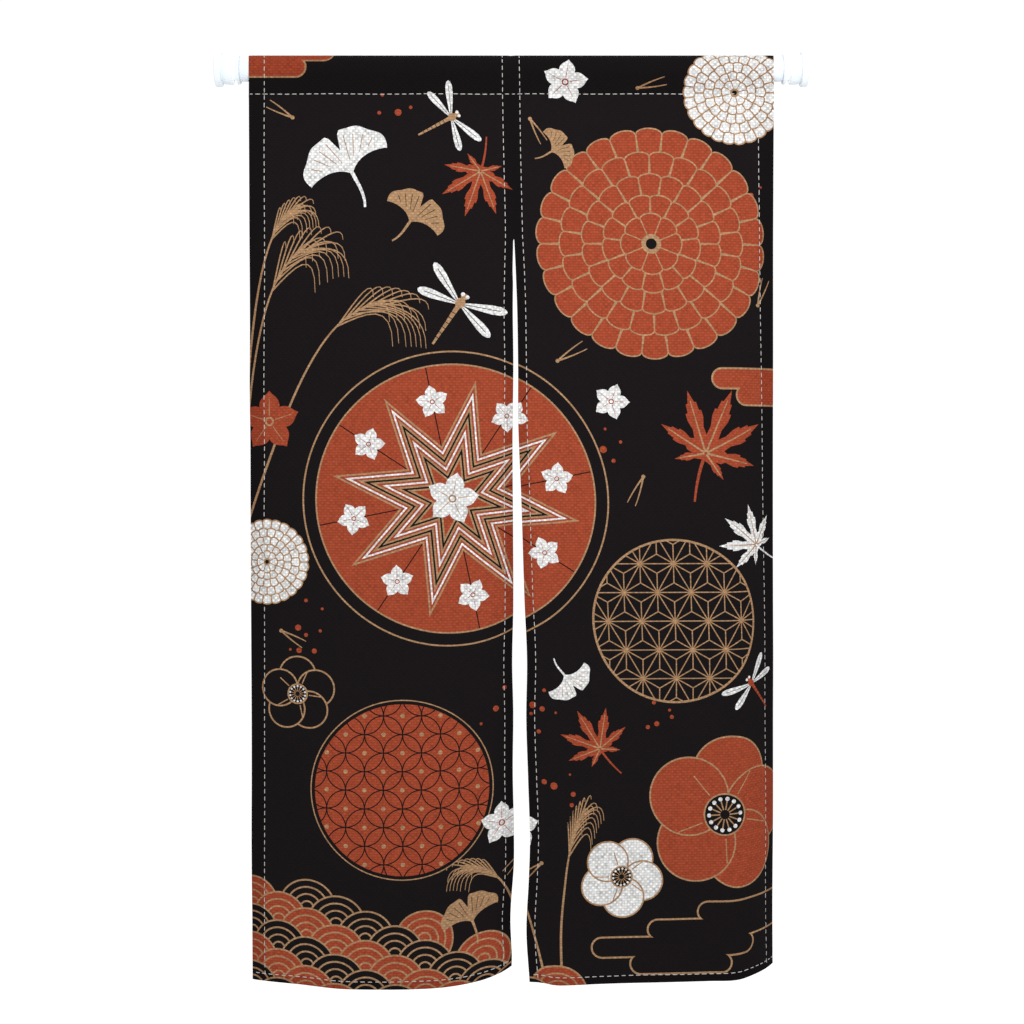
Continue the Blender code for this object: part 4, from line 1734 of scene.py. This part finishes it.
def laid_in_cloth(tree, given, runs):
    """Every stitch goes down into the cloth at both ends and lies a little to one side."""
    out = read_attribute(tree, "cloth_out", "FLOAT_VECTOR")
    dip = from_middle(tree) ** DIP_POWER * given["Dip at the ends"]
    sockets = {"Min": (-1.0,) * 3, "Max": (1.0,) * 3, "Seed": given["Seed"]}
    draw = add_node(tree, "FunctionNodeRandomValue", "Value", sockets, data_type="FLOAT_VECTOR")
    each = geometry(tree, "FieldOnDomain", 0, {0: draw}, domain="CURVE", data_type="FLOAT_VECTOR")
    sockets = {0: scaled(each, given["Wander"]), 1: scaled(out, dip * -1.0)}
    move = add_node(tree, "ShaderNodeVectorMath", 0, sockets, operation="ADD")
    laid = geometry(tree, "SetPosition", "Geometry", {"Geometry": runs, "Offset": move})
    return geometry(tree, "SetCurveNormal", "Curve", {"Curve": laid, "Normal": out}, mode="FREE")


def thickened(tree, given, paths):
    """Flattened thread round every path, thinner towards its ends."""
    sockets = {"Resolution": given["Thread sides"], "Radius": given["Thread width"] * 0.5}
    circle = geometry(tree, "CurvePrimitiveCircle", "Curve", sockets)
    flatter = add_node(tree, "ShaderNodeCombineXYZ", 0, {0: given["Thread flatness"], 1: 1.0, 2: 1.0})
    section = geometry(tree, "Transform", "Geometry", {"Geometry": circle, "Scale": flatter})
    taper = 1.0 - from_middle(tree) ** TAPER_POWER * TAPER
    sockets = {"Curve": paths, "Profile Curve": section, "Scale": taper, "Fill Caps": True}
    return geometry(tree, "CurveToMesh", "Mesh", sockets)


def stitch_tree(thread):
    """Stitches of thread along every line."""
    tree = bpy.data.node_groups.new("stitches", "GeometryNodeTree")
    tree.interface.new_socket("Lines", in_out="INPUT", socket_type="NodeSocketGeometry")
    for plan in STITCH_INPUTS:
        socket = tree.interface.new_socket(plan.name, in_out="INPUT", socket_type=plan.kind)
        socket.default_value = plan.value
    tree.interface.new_socket("Stitches", in_out="OUTPUT", socket_type="NodeSocketGeometry")
    outputs = tree.nodes.new("NodeGroupInput").outputs
    given = {socket.name: Value(tree, socket) for socket in outputs}
    thick = thickened(tree, given, laid_in_cloth(tree, given, cut_into_stitches(tree, given)))
    smooth = geometry(tree, "SetShadeSmooth", "Geometry", {"Geometry": thick})
    real = geometry(tree, "RealizeInstances", "Geometry", {"Geometry": smooth})
    finished = geometry(tree, "SetMaterial", "Geometry", {"Geometry": real, "Material": thread})
    plug(finished, tree.nodes.new("NodeGroupOutput").inputs["Stitches"])
    return tree


def wavered(along, line, length):
    """Where a sewn line really runs: a little to one side of it and the other."""
    return line.at + LINE_WAVER * np.sin(2 * math.pi * along / length + line.seed)


def thread_run(panel, tables, line, behind):
    """Points and outward directions of one sewn line, on the printed face or behind it."""
    if line.upright:
        below_pocket = FRONT_STITCH_FALL + POCKET_EDGE + THREAD_CLEARANCE
        first = below_pocket if behind else FALL_START + THREAD_INSET
        falls = np.arange(first, FALL_END - THREAD_INSET, THREAD_STEP)
        across = wavered(falls, line, UPRIGHT_WAVER_LENGTH)
    else:
        across = np.arange(panel.start + THREAD_INSET, panel.end - THREAD_INSET, THREAD_STEP)
        falls = wavered(across, line, LEVEL_WAVER_LENGTH)
    normals = outward(panel, tables, across, falls)
    points = smooth_cloth(panel, tables, across, falls) + normals * relief(panel, across, falls)[:, None]
    if behind:
        return points - normals * (thickness(panel, across, falls) + THREAD_PROUD)[:, None], -normals
    return points + normals * (GROOVE_DEPTH * THREAD_IN_GROOVE + THREAD_PROUD), normals


def sewing_mesh(panel):
    """The paths that the thread follows, as chains of points."""
    tables = fold_tables(panel)
    points = []
    outs = []
    first_steps = []
    edges = []
    for number, line in enumerate(sewn_lines(panel)):
        # A stitch of the pocket shows on the pocket's outer faces only
        on_pocket = line.at in (FRONT_STITCH_FALL, BACK_STITCH_FALL)
        sides = [False] if on_pocket else [False, True]
        for behind in sides:
            run, out = thread_run(panel, tables, line, behind)
            edges += chain_edges(len(points), len(run))
            points.extend(run)
            outs.extend(out)
            first_steps += [number + (STEPS_IN_STITCH / 2 if behind else 0)] * len(run)
    mesh = bpy.data.meshes.new("sewing")
    mesh.from_pydata(points, edges, [])
    mesh.attributes.new("cloth_out", "FLOAT_VECTOR", "POINT").data.foreach_set("vector", np.ravel(outs))
    add_values(mesh, "first_step", np.array(first_steps))
    return mesh


def made_by(tree, mesh, name):
    """The plain mesh that a node tree makes from a mesh, as a new piece."""
    piece = bpy.data.objects.new(name, mesh)
    bpy.context.scene.collection.objects.link(piece)
    modifier = piece.modifiers.new("stitches", "NODES")
    modifier.node_group = tree
    identifiers = {item.name: item.identifier for item in tree.interface.items_tree}
    for plan in STITCH_INPUTS:
        modifier[identifiers[plan.name]] = plan.value
    bpy.context.view_layer.update()
    evaluated = piece.evaluated_get(bpy.context.evaluated_depsgraph_get())
    finished = bpy.data.meshes.new_from_object(evaluated)
    finished.name = name
    piece.modifiers.clear()
    piece.data = finished
    return piece


# The tension rod
def turned_mesh(name, sections, direction, start):
    """A mesh turned about the rod's axis. Its first and its last section lie on the axis."""
    angles = np.arange(TURNED_STEPS) * 2 * math.pi / TURNED_STEPS
    points = []
    rings = []
    for row in sections:
        turns = angles if row.radius else angles[:1]
        rings.append(len(points) + np.arange(TURNED_STEPS) % len(turns))
        along = np.full_like(turns, start + row.along)
        points.extend(np.column_stack([along, row.radius * np.sin(turns), row.radius * np.cos(turns)]))

    # A face that reaches the axis has only one corner there
    faces = []
    for near, far in zip(rings, rings[1:]):
        quads = np.column_stack([near, far, np.roll(far, -1), np.roll(near, -1)])
        faces += [list(dict.fromkeys(quad)) for quad in quads.tolist()]
    mesh = bpy.data.meshes.new(name)
    mesh.from_pydata(np.array(points) * (direction, direction, 1), [], faces)
    mesh.update()
    mesh.shade_smooth()
    mesh.set_sharp_from_angle(angle=SHARP_ANGLE)
    return mesh


def rounded_sections(sections):
    """A turned outline with each of its corners cut back to a small round."""
    rows = [sections[0]]
    for before, row, after in zip(sections, sections[1:], sections[2:]):
        corner = Vector(row)
        back = Vector(before) - corner
        ahead = Vector(after) - corner
        reach = min(CORNER_ROUNDING, back.length * CORNER_SHARE, ahead.length * CORNER_SHARE)
        first = corner + back.normalized() * reach
        last = corner + ahead.normalized() * reach
        for share in CORNER_STEPS:
            point = first * (1 - share) ** 2 + corner * 2 * share * (1 - share) + last * share**2
            rows.append(TurnedSection(*point))
    rows.append(sections[-1])
    return rows


def add_piece(name, mesh, material):
    piece = bpy.data.objects.new(name, mesh)
    bpy.context.scene.collection.objects.link(piece)
    mesh.materials.clear()
    mesh.materials.append(material)
    return piece


def make_rod_tube(material):
    """The tube, as long as the space between the two end caps."""
    half = TUBE_HALF_LENGTH
    sections = [TurnedSection(-half, 0.0), TurnedSection(-half, ROD_RADIUS)]
    sections += [TurnedSection(half, ROD_RADIUS), TurnedSection(half, 0.0)]
    return add_piece("rod_tube", turned_mesh("rod_tube", rounded_sections(sections), 1, 0.0), material)


def make_rod_end(side, direction, material):
    """An end cap, turned outwards from the tube's end in one direction of the rod."""
    sections = [TurnedSection(0.0, 0.0), *ROD_END, TurnedSection(ROD_END[-1].along, 0.0)]
    name = "rod_cap_" + side
    mesh = turned_mesh(name, rounded_sections(sections), direction, TUBE_HALF_LENGTH + END_JOINT)
    return add_piece(name, mesh, material)


# Finishes
def new_material(name):
    """A material, its node tree and its surface shader."""
    material = bpy.data.materials.new(name)
    material.use_nodes = True
    return material, material.node_tree, material.node_tree.nodes["Principled BSDF"]


def spread(value, low, high):
    """Where a value from 0 to 1 lies between two numbers."""
    return value * (high - low) + low


# A Mix node takes its numbers at the sockets 2 and 3, and its colours at 6 and 7
def mixed(factor, first, second):
    """A number between two others."""
    return add_node(factor.tree, "ShaderNodeMix", 0, {0: factor, 2: first, 3: second}, data_type="FLOAT")


def mixed_colour(factor, first, second):
    return add_node(factor.tree, "ShaderNodeMix", 2, {0: factor, 6: first, 7: second}, data_type="RGBA")


def times_colour(first, second):
    """One colour times another."""
    sockets = {0: 1.0, 6: first, 7: second}
    return add_node(first.tree, "ShaderNodeMix", 2, sockets, data_type="RGBA", blend_type="MULTIPLY")


def ramp(value, start, end):
    """A soft rise from 0 to 1 between two values."""
    sockets = {0: value, 1: start, 2: end}
    return add_node(value.tree, "ShaderNodeMapRange", 0, sockets, interpolation_type="SMOOTHSTEP")


def noise(vector, scale, detail):
    sockets = {"Vector": vector, "Scale": scale, "Detail": detail}
    return add_node(vector.tree, "ShaderNodeTexNoise", "Fac", sockets)


def wave(value, pitch):
    """A sine that is zero at every pitch."""
    return calc(value.tree, "SINE", value * (math.pi / pitch))


def whole_pitches(value, pitch):
    """How many whole pitches lie before a value."""
    return calc(value.tree, "FLOOR", calc(value.tree, "DIVIDE", value, pitch))


def combined(*numbers):
    """A vector of two or three numbers."""
    return add_node(numbers[0].tree, "ShaderNodeCombineXYZ", 0, dict(enumerate(numbers)))


def coordinate(vector, number):
    """One of a vector's three numbers."""
    return add_node(vector.tree, "ShaderNodeSeparateXYZ", number, {0: vector})


def place_on_piece(tree):
    """The place in the piece's own coordinates."""
    return add_node(tree, "ShaderNodeTexCoord", "Object", {})


def finish_surface(shader, colour, roughness, height, depth, strength):
    """Plug the colour, the roughness and the fine relief of a surface into its shader."""
    sockets = {"Height": height, "Distance": depth, "Strength": strength}
    plug(colour, shader.inputs["Base Color"])
    plug(roughness, shader.inputs["Roughness"])
    plug(add_node(height.tree, "ShaderNodeBump", 0, sockets), shader.inputs["Normal"])


# The canvas. Noise is given by how many of its spots a metre of cloth has, across and down.
DRIFT_SPOTS = (34, 90)
SAG_SPOTS = (52, 104)
LEVEL_SLUB_SPOTS = (260, 1300)
UPRIGHT_SLUB_SPOTS = (1500, 240)
STREAK_SPOTS = (150, 3.7)
PATCH_SPOTS = (26, 30)
BROAD_SPOTS = (3.1, 2.3)
YARN_WANDER = 0.30
TOP_SOFTNESS = 0.18
YARN_ROUNDNESS = 0.6
LEAST_YARN = 0.001
YARN_HEIGHT = 0.25
FIBRE_HEIGHT = 0.30
GAP_POWER = 1.5
GAP_DEPTH = 0.30
CELL_SWELL = (0.65, 1.25)
CANVAS_ROUGHNESS = (0.80, 0.96)
CANVAS_RELIEF = 0.00035
CANVAS_RELIEF_STRENGTH = 0.8

# How far each part of the weave lightens or darkens the ink, and how strongly that shows. A rise or a
# fall is where it starts and where it ends.
SPOT_RISE = (0.22, 0.95)
DASH_SIDE_FALL = (0.55, -0.55)
DASH_RISE = (0.35, 0.90)
DASH_LEAST = 0.45
FIBRE_TONES = (0.90, 1.10)
YARN_TONES = (0.93, 1.02)
BROAD_TONES = (0.97, 1.03)
GROUND_TO_INK = (0.01, 0.05)
SPOT_LIGHT = 0.21
DASH_SHADE = 0.15
COLUMN_GAP_SHADE = 0.08
ROW_GAP_SHADE = 0.22
STREAK_CONTRAST = 1.10
PATCH_CONTRAST = 0.50
LIGHT_INK_CONTRAST = 0.60
LEAST_CONTRAST = 0.20
GROUND_SHARE = 0.40
MIDDLE_SHADE = 0.77


class Weave(NamedTuple):
    across: Value
    row: Value
    across_wave: Value
    down_wave: Value
    row_gap: Value
    column_gap: Value
    yarns: Value
    fibre: Value
    oddness: Value
    swell: Value


def canvas_noise(across, down, spots, detail):
    """Noise on the cloth, stretched across or down."""
    return noise(combined(across * spots[0], down * spots[1]), 1.0, detail)


def canvas_weave(flat_across, flat_down):
    """Bundled yarns, over and under in turn, that wander a little from their straight lines."""
    tree = flat_across.tree
    drift = canvas_noise(flat_across, flat_down, DRIFT_SPOTS, detail=2.0) - 0.5
    sag = canvas_noise(flat_down, flat_across, SAG_SPOTS, detail=2.0) - 0.5
    across = flat_across + drift * (CELL_WIDTH * YARN_WANDER)
    down = flat_down + sag * (CELL_HEIGHT * YARN_WANDER)
    across_wave = wave(across, CELL_WIDTH)
    down_wave = wave(down, CELL_HEIGHT)
    cell = across_wave * down_wave

    # The level yarns lie on top in one half of the cells and the upright ones in the other half
    level_on_top = ramp(cell, -TOP_SOFTNESS, TOP_SOFTNESS)
    level_yarns = abs(wave(down, CELL_HEIGHT / YARNS_IN_CELL))
    upright_yarns = abs(wave(across, CELL_WIDTH / YARNS_IN_CELL))
    level_slub = canvas_noise(across, down, LEVEL_SLUB_SPOTS, detail=3.0)
    upright_slub = canvas_noise(across, down, UPRIGHT_SLUB_SPOTS, detail=3.0)
    row = whole_pitches(down, CELL_HEIGHT)
    sockets = {"Vector": combined(whole_pitches(across, CELL_WIDTH), row)}
    oddness = add_node(tree, "ShaderNodeTexWhiteNoise", "Value", sockets, noise_dimensions="2D")
    return Weave(
        across=across,
        row=row,
        across_wave=across_wave,
        down_wave=down_wave,
        row_gap=(1.0 - abs(down_wave)) ** GAP_POWER,
        column_gap=(1.0 - abs(across_wave)) ** GAP_POWER,
        yarns=(mixed(level_on_top, upright_yarns, level_yarns) + LEAST_YARN) ** YARN_ROUNDNESS,
        fibre=mixed(level_on_top, upright_slub, level_slub),
        oddness=oddness,
        swell=cell * spread(oddness, *CELL_SWELL),
    )


def weave_shade(weave, ink, flat_across, flat_down):
    """How light the weave leaves the ink. Ink lies in the weave and evens it out.

    Raised cells catch the light in a small spot, the cells between them hold a low dash of shade, and
    every row has lighter and darker lengths of its own. The bare white cloth shows this most and the
    ground hardly at all.
    """
    spot = ramp(weave.swell, *SPOT_RISE)
    side = calc(ink.tree, "SIGN", weave.down_wave)
    dash = ramp(weave.across_wave * side, *DASH_SIDE_FALL) * ramp(abs(weave.down_wave), *DASH_RISE)
    dash = dash * (weave.oddness + DASH_LEAST)
    streak = canvas_noise(weave.across, weave.row, STREAK_SPOTS, detail=2.0) - 0.5
    shade = spot * SPOT_LIGHT - dash * DASH_SHADE - weave.column_gap * COLUMN_GAP_SHADE
    shade = shade + streak * STREAK_CONTRAST
    patch = canvas_noise(flat_across, flat_down, PATCH_SPOTS, detail=3.0)
    green = add_node(ink.tree, "ShaderNodeSeparateColor", "Green", {0: ink})
    not_ground = spread(ramp(green, *GROUND_TO_INK), GROUND_SHARE, 1.0)
    contrast = patch * PATCH_CONTRAST + green * LIGHT_INK_CONTRAST + LEAST_CONTRAST
    shade = shade * (contrast * not_ground) + MIDDLE_SHADE
    shade = shade - weave.row_gap * not_ground * ROW_GAP_SHADE
    broad = canvas_noise(flat_across, flat_down, BROAD_SPOTS, detail=2.0)
    shade = shade * spread(weave.fibre, *FIBRE_TONES) * spread(weave.yarns, *YARN_TONES)
    return shade * spread(broad, *BROAD_TONES)


def printed_cloth_finish():
    """Canvas with the print on it, with a painted shade where two layers lie on each other."""
    material, tree, shader = new_material("printed_canvas")
    flat = add_node(tree, "ShaderNodeUVMap", 0, {}, uv_map="Cloth")
    flat_across = coordinate(flat, 0)
    flat_down = coordinate(flat, 1)
    weave = canvas_weave(flat_across, flat_down)
    ink = add_node(tree, "ShaderNodeVertexColor", "Color", {}, layer_name="print")
    shade = weave_shade(weave, ink, flat_across, flat_down)
    colour = times_colour(ink, combined(shade, shade, shade))

    # Painted shade: two layers let less light through, the more so the darker the ink
    double = add_node(tree, "ShaderNodeAttribute", "Fac", {}, attribute_name="double_layer_shade")
    sockets = {0: ink, 1: (DOUBLE_LAYER_SHADE_INK,) * 3, 2: (DOUBLE_LAYER_SHADE,) * 3}
    double_layer_shade_tone = add_node(tree, "ShaderNodeVectorMath", 0, sockets, operation="MULTIPLY_ADD")
    colour = mixed_colour(double, colour, times_colour(colour, double_layer_shade_tone))
    gaps = weave.row_gap + weave.column_gap
    height = weave.swell + weave.yarns * YARN_HEIGHT - gaps * GAP_DEPTH + weave.fibre * FIBRE_HEIGHT
    roughness = spread(weave.fibre, *CANVAS_ROUGHNESS)
    finish_surface(shader, colour, roughness, height, CANVAS_RELIEF, CANVAS_RELIEF_STRENGTH)
    shader.inputs["Specular IOR Level"].default_value = 0.02
    return material


# The thread, the rod and the floor: their colours, darkest first, and their grain
THREAD_COLOURS = ((0.28, 0.27, 0.255, 1.0), (0.51, 0.49, 0.47, 1.0))
THREAD_ROUGHNESS = (0.55, 0.75)
THREAD_TWIST = 620.0
THREAD_SPECKS = 900.0
TWIST_SHADE_SHARE = 0.35
SPECK_SHARE = 0.5
TUBE_COLOURS = ((0.55, 0.60, 0.65, 1.0), (0.59, 0.64, 0.68, 1.0))
TUBE_ROUGHNESS = (0.24, 0.40)
TUBE_DRAWN = (6.0, 90.0, 90.0)
TUBE_MARKS = 3.0
TUBE_MARKS_RISE = (0.30, 0.72)
TUBE_SKIN = 420.0
CAP_COLOURS = ((0.57, 0.62, 0.66, 1.0), (0.61, 0.66, 0.70, 1.0))
# A painted light in the caps' neck groove, and how far it fades out
CAP_NECK_PAINTED_LIGHT = (0.88, 0.92, 0.94, 1.0)
CAP_NECK_LIGHT_FADE = 0.0015
CAP_ROUGHNESS = (0.36, 0.54)
CAP_CLOUDS = 38.0
CAP_CLOUD_RISE = (0.35, 0.75)
CAP_GRAIN = 1500.0
FLOOR_COLOURS = ((0.94, 0.94, 0.94, 1.0), (0.96, 0.96, 0.96, 1.0))
FLOOR_CLOUDS = 1.5


def thread_finish():
    """Off-white twisted sewing thread."""
    material, tree, shader = new_material("sewing_thread")
    place = place_on_piece(tree)
    sockets = {"Vector": place, "Scale": THREAD_TWIST, "Distortion": 1.2, "Detail": 1.0}
    twist = add_node(tree, "ShaderNodeTexWave", "Fac", sockets, bands_direction="DIAGONAL")
    speck = noise(place, THREAD_SPECKS, detail=2.0)
    # The twist's grooves are painted darker, a painted shade, and the specks vary the tone at random
    colour = mixed_colour(twist * TWIST_SHADE_SHARE + speck * SPECK_SHARE, *THREAD_COLOURS)
    finish_surface(shader, colour, spread(speck, *THREAD_ROUGHNESS), twist, depth=0.0001, strength=0.6)
    shader.inputs["Specular IOR Level"].default_value = 0.25
    return material


def white_tube_finish():
    """White enamel on steel, with a faint waviness and rubbed marks along the tube."""
    material, tree, shader = new_material("white_enamel")
    place = place_on_piece(tree)
    drawn = add_node(tree, "ShaderNodeMapping", 0, {"Vector": place, "Scale": TUBE_DRAWN})
    marks = noise(drawn, TUBE_MARKS, detail=4.0)
    colour = mixed_colour(ramp(marks, *TUBE_MARKS_RISE), *TUBE_COLOURS)
    skin = noise(place, TUBE_SKIN, detail=2.0)
    finish_surface(shader, colour, spread(marks, *TUBE_ROUGHNESS), skin, depth=0.00005, strength=0.35)
    shader.inputs["Coat Weight"].default_value = 0.3
    shader.inputs["Coat Roughness"].default_value = 0.15
    return material


def white_cap_finish():
    """Moulded white plastic with a fine grain and a cloudy tone, painted lighter in the neck to lift the
    shade in its groove.
    """
    material, tree, shader = new_material("white_plastic")
    place = place_on_piece(tree)
    cloud = noise(place, CAP_CLOUDS, detail=3.0)
    colour = mixed_colour(ramp(cloud, *CAP_CLOUD_RISE), *CAP_COLOURS)
    # Painted light: the neck's groove gets a lighter colour that lifts the shade falling in it
    neck_middle = TUBE_HALF_LENGTH + END_JOINT + (NECK_START + NECK_END) / 2
    neck_half = (NECK_END - NECK_START) / 2
    from_neck = abs(abs(coordinate(place, 0)) - neck_middle)
    colour = mixed_colour(ramp(from_neck, neck_half + CAP_NECK_LIGHT_FADE, neck_half), colour, CAP_NECK_PAINTED_LIGHT)
    grain = noise(place, CAP_GRAIN, detail=2.0)
    finish_surface(shader, colour, spread(cloud, *CAP_ROUGHNESS), grain, depth=0.00006, strength=0.4)
    return material


def floor_finish():
    material, tree, shader = new_material("studio_floor")
    tone = noise(place_on_piece(tree), FLOOR_CLOUDS, detail=2.0)
    plug(mixed_colour(tone, *FLOOR_COLOURS), shader.inputs["Base Color"])
    shader.inputs["Roughness"].default_value = 0.9
    shader.inputs["Specular IOR Level"].default_value = 0.1
    return material


# Camera, studio and floor
def stand(name, data, place, target):
    """Stand a camera or a lamp at a place, pointed at a target."""
    thing = bpy.data.objects.new(name, data)
    bpy.context.scene.collection.objects.link(thing)
    thing.location = place
    thing.rotation_euler = (Vector(target) - Vector(place)).to_track_quat("-Z", "Y").to_euler()
    return thing


def add_camera():
    camera = bpy.data.cameras.new("camera")
    camera.sensor_width = SENSOR
    camera.lens = SENSOR * CAMERA_DISTANCE / FRAME_WIDTH
    camera.clip_end = FARTHEST_SEEN
    place = (CAMERA_X, -CAMERA_DISTANCE, CAMERA_Z)
    bpy.context.scene.camera = stand("camera", camera, place, (CAMERA_X, 0.0, CAMERA_Z))


def add_softbox(name, place, target, size, power):
    lamp = bpy.data.lights.new(name, "AREA")
    lamp.shape = "RECTANGLE"
    lamp.size = size
    lamp.size_y = size
    lamp.energy = power
    stand(name, lamp, place, target)


def add_studio():
    """White light from all round, a softbox in front of the rod and one above."""
    scene = bpy.context.scene
    scene.view_settings.view_transform = "Standard"
    world = bpy.data.worlds.new("studio")
    world.use_nodes = True
    background = world.node_tree.nodes["Background"]
    background.inputs["Color"].default_value = (1.0, 1.0, 1.0, 1.0)
    background.inputs["Strength"].default_value = WORLD_STRENGTH
    scene.world = world
    add_softbox("key", KEY_PLACE, KEY_TARGET, KEY_SIZE, KEY_POWER)
    add_softbox("overhead", OVERHEAD_PLACE, OVERHEAD_TARGET, OVERHEAD_SIZE, OVERHEAD_POWER)


def add_floor(material):
    grid = bmesh.new()
    bmesh.ops.create_grid(grid, x_segments=FLOOR_SQUARES, y_segments=FLOOR_SQUARES, size=FLOOR_HALF_SIZE)
    bmesh.ops.translate(grid, verts=grid.verts, vec=(0.0, 0.0, FLOOR_Z))
    mesh = bpy.data.meshes.new("floor")
    grid.to_mesh(mesh)
    grid.free()
    return add_piece("floor", mesh, material)


# The pieces, each in place of the solids that it dresses
def dress_rod():
    """The tube and both end caps."""
    tube = make_rod_tube(white_tube_finish())
    cap = white_cap_finish()
    left_end = make_rod_end("left", -1, cap)
    right_end = make_rod_end("right", 1, cap)
    for piece, node, slot in (
        (tube, "rod", "rod_tube"),
        (left_end, "rod_end_left", "rod_cap"),
        (right_end, "rod_end_right", "rod_cap"),
    ):
        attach(piece, "root")
        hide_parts(node)


def dress_panels():
    """Both panels of cloth, and the stitches in each."""
    outlines = print_outlines()
    canvas = printed_cloth_finish()
    thread = thread_finish()
    tree = stitch_tree(thread)
    for panel in (LEFT_PANEL, RIGHT_PANEL):
        cloth = add_piece(panel.name, make_cloth(panel, outlines), canvas)
        stitches = made_by(tree, sewing_mesh(panel), "stitches_" + panel.side)
        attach(cloth, "root")
        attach(stitches, "root")
        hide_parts("panel_" + panel.side)


def main():
    add_camera()
    add_studio()
    add_floor(floor_finish())
    dress_rod()
    dress_panels()


main()
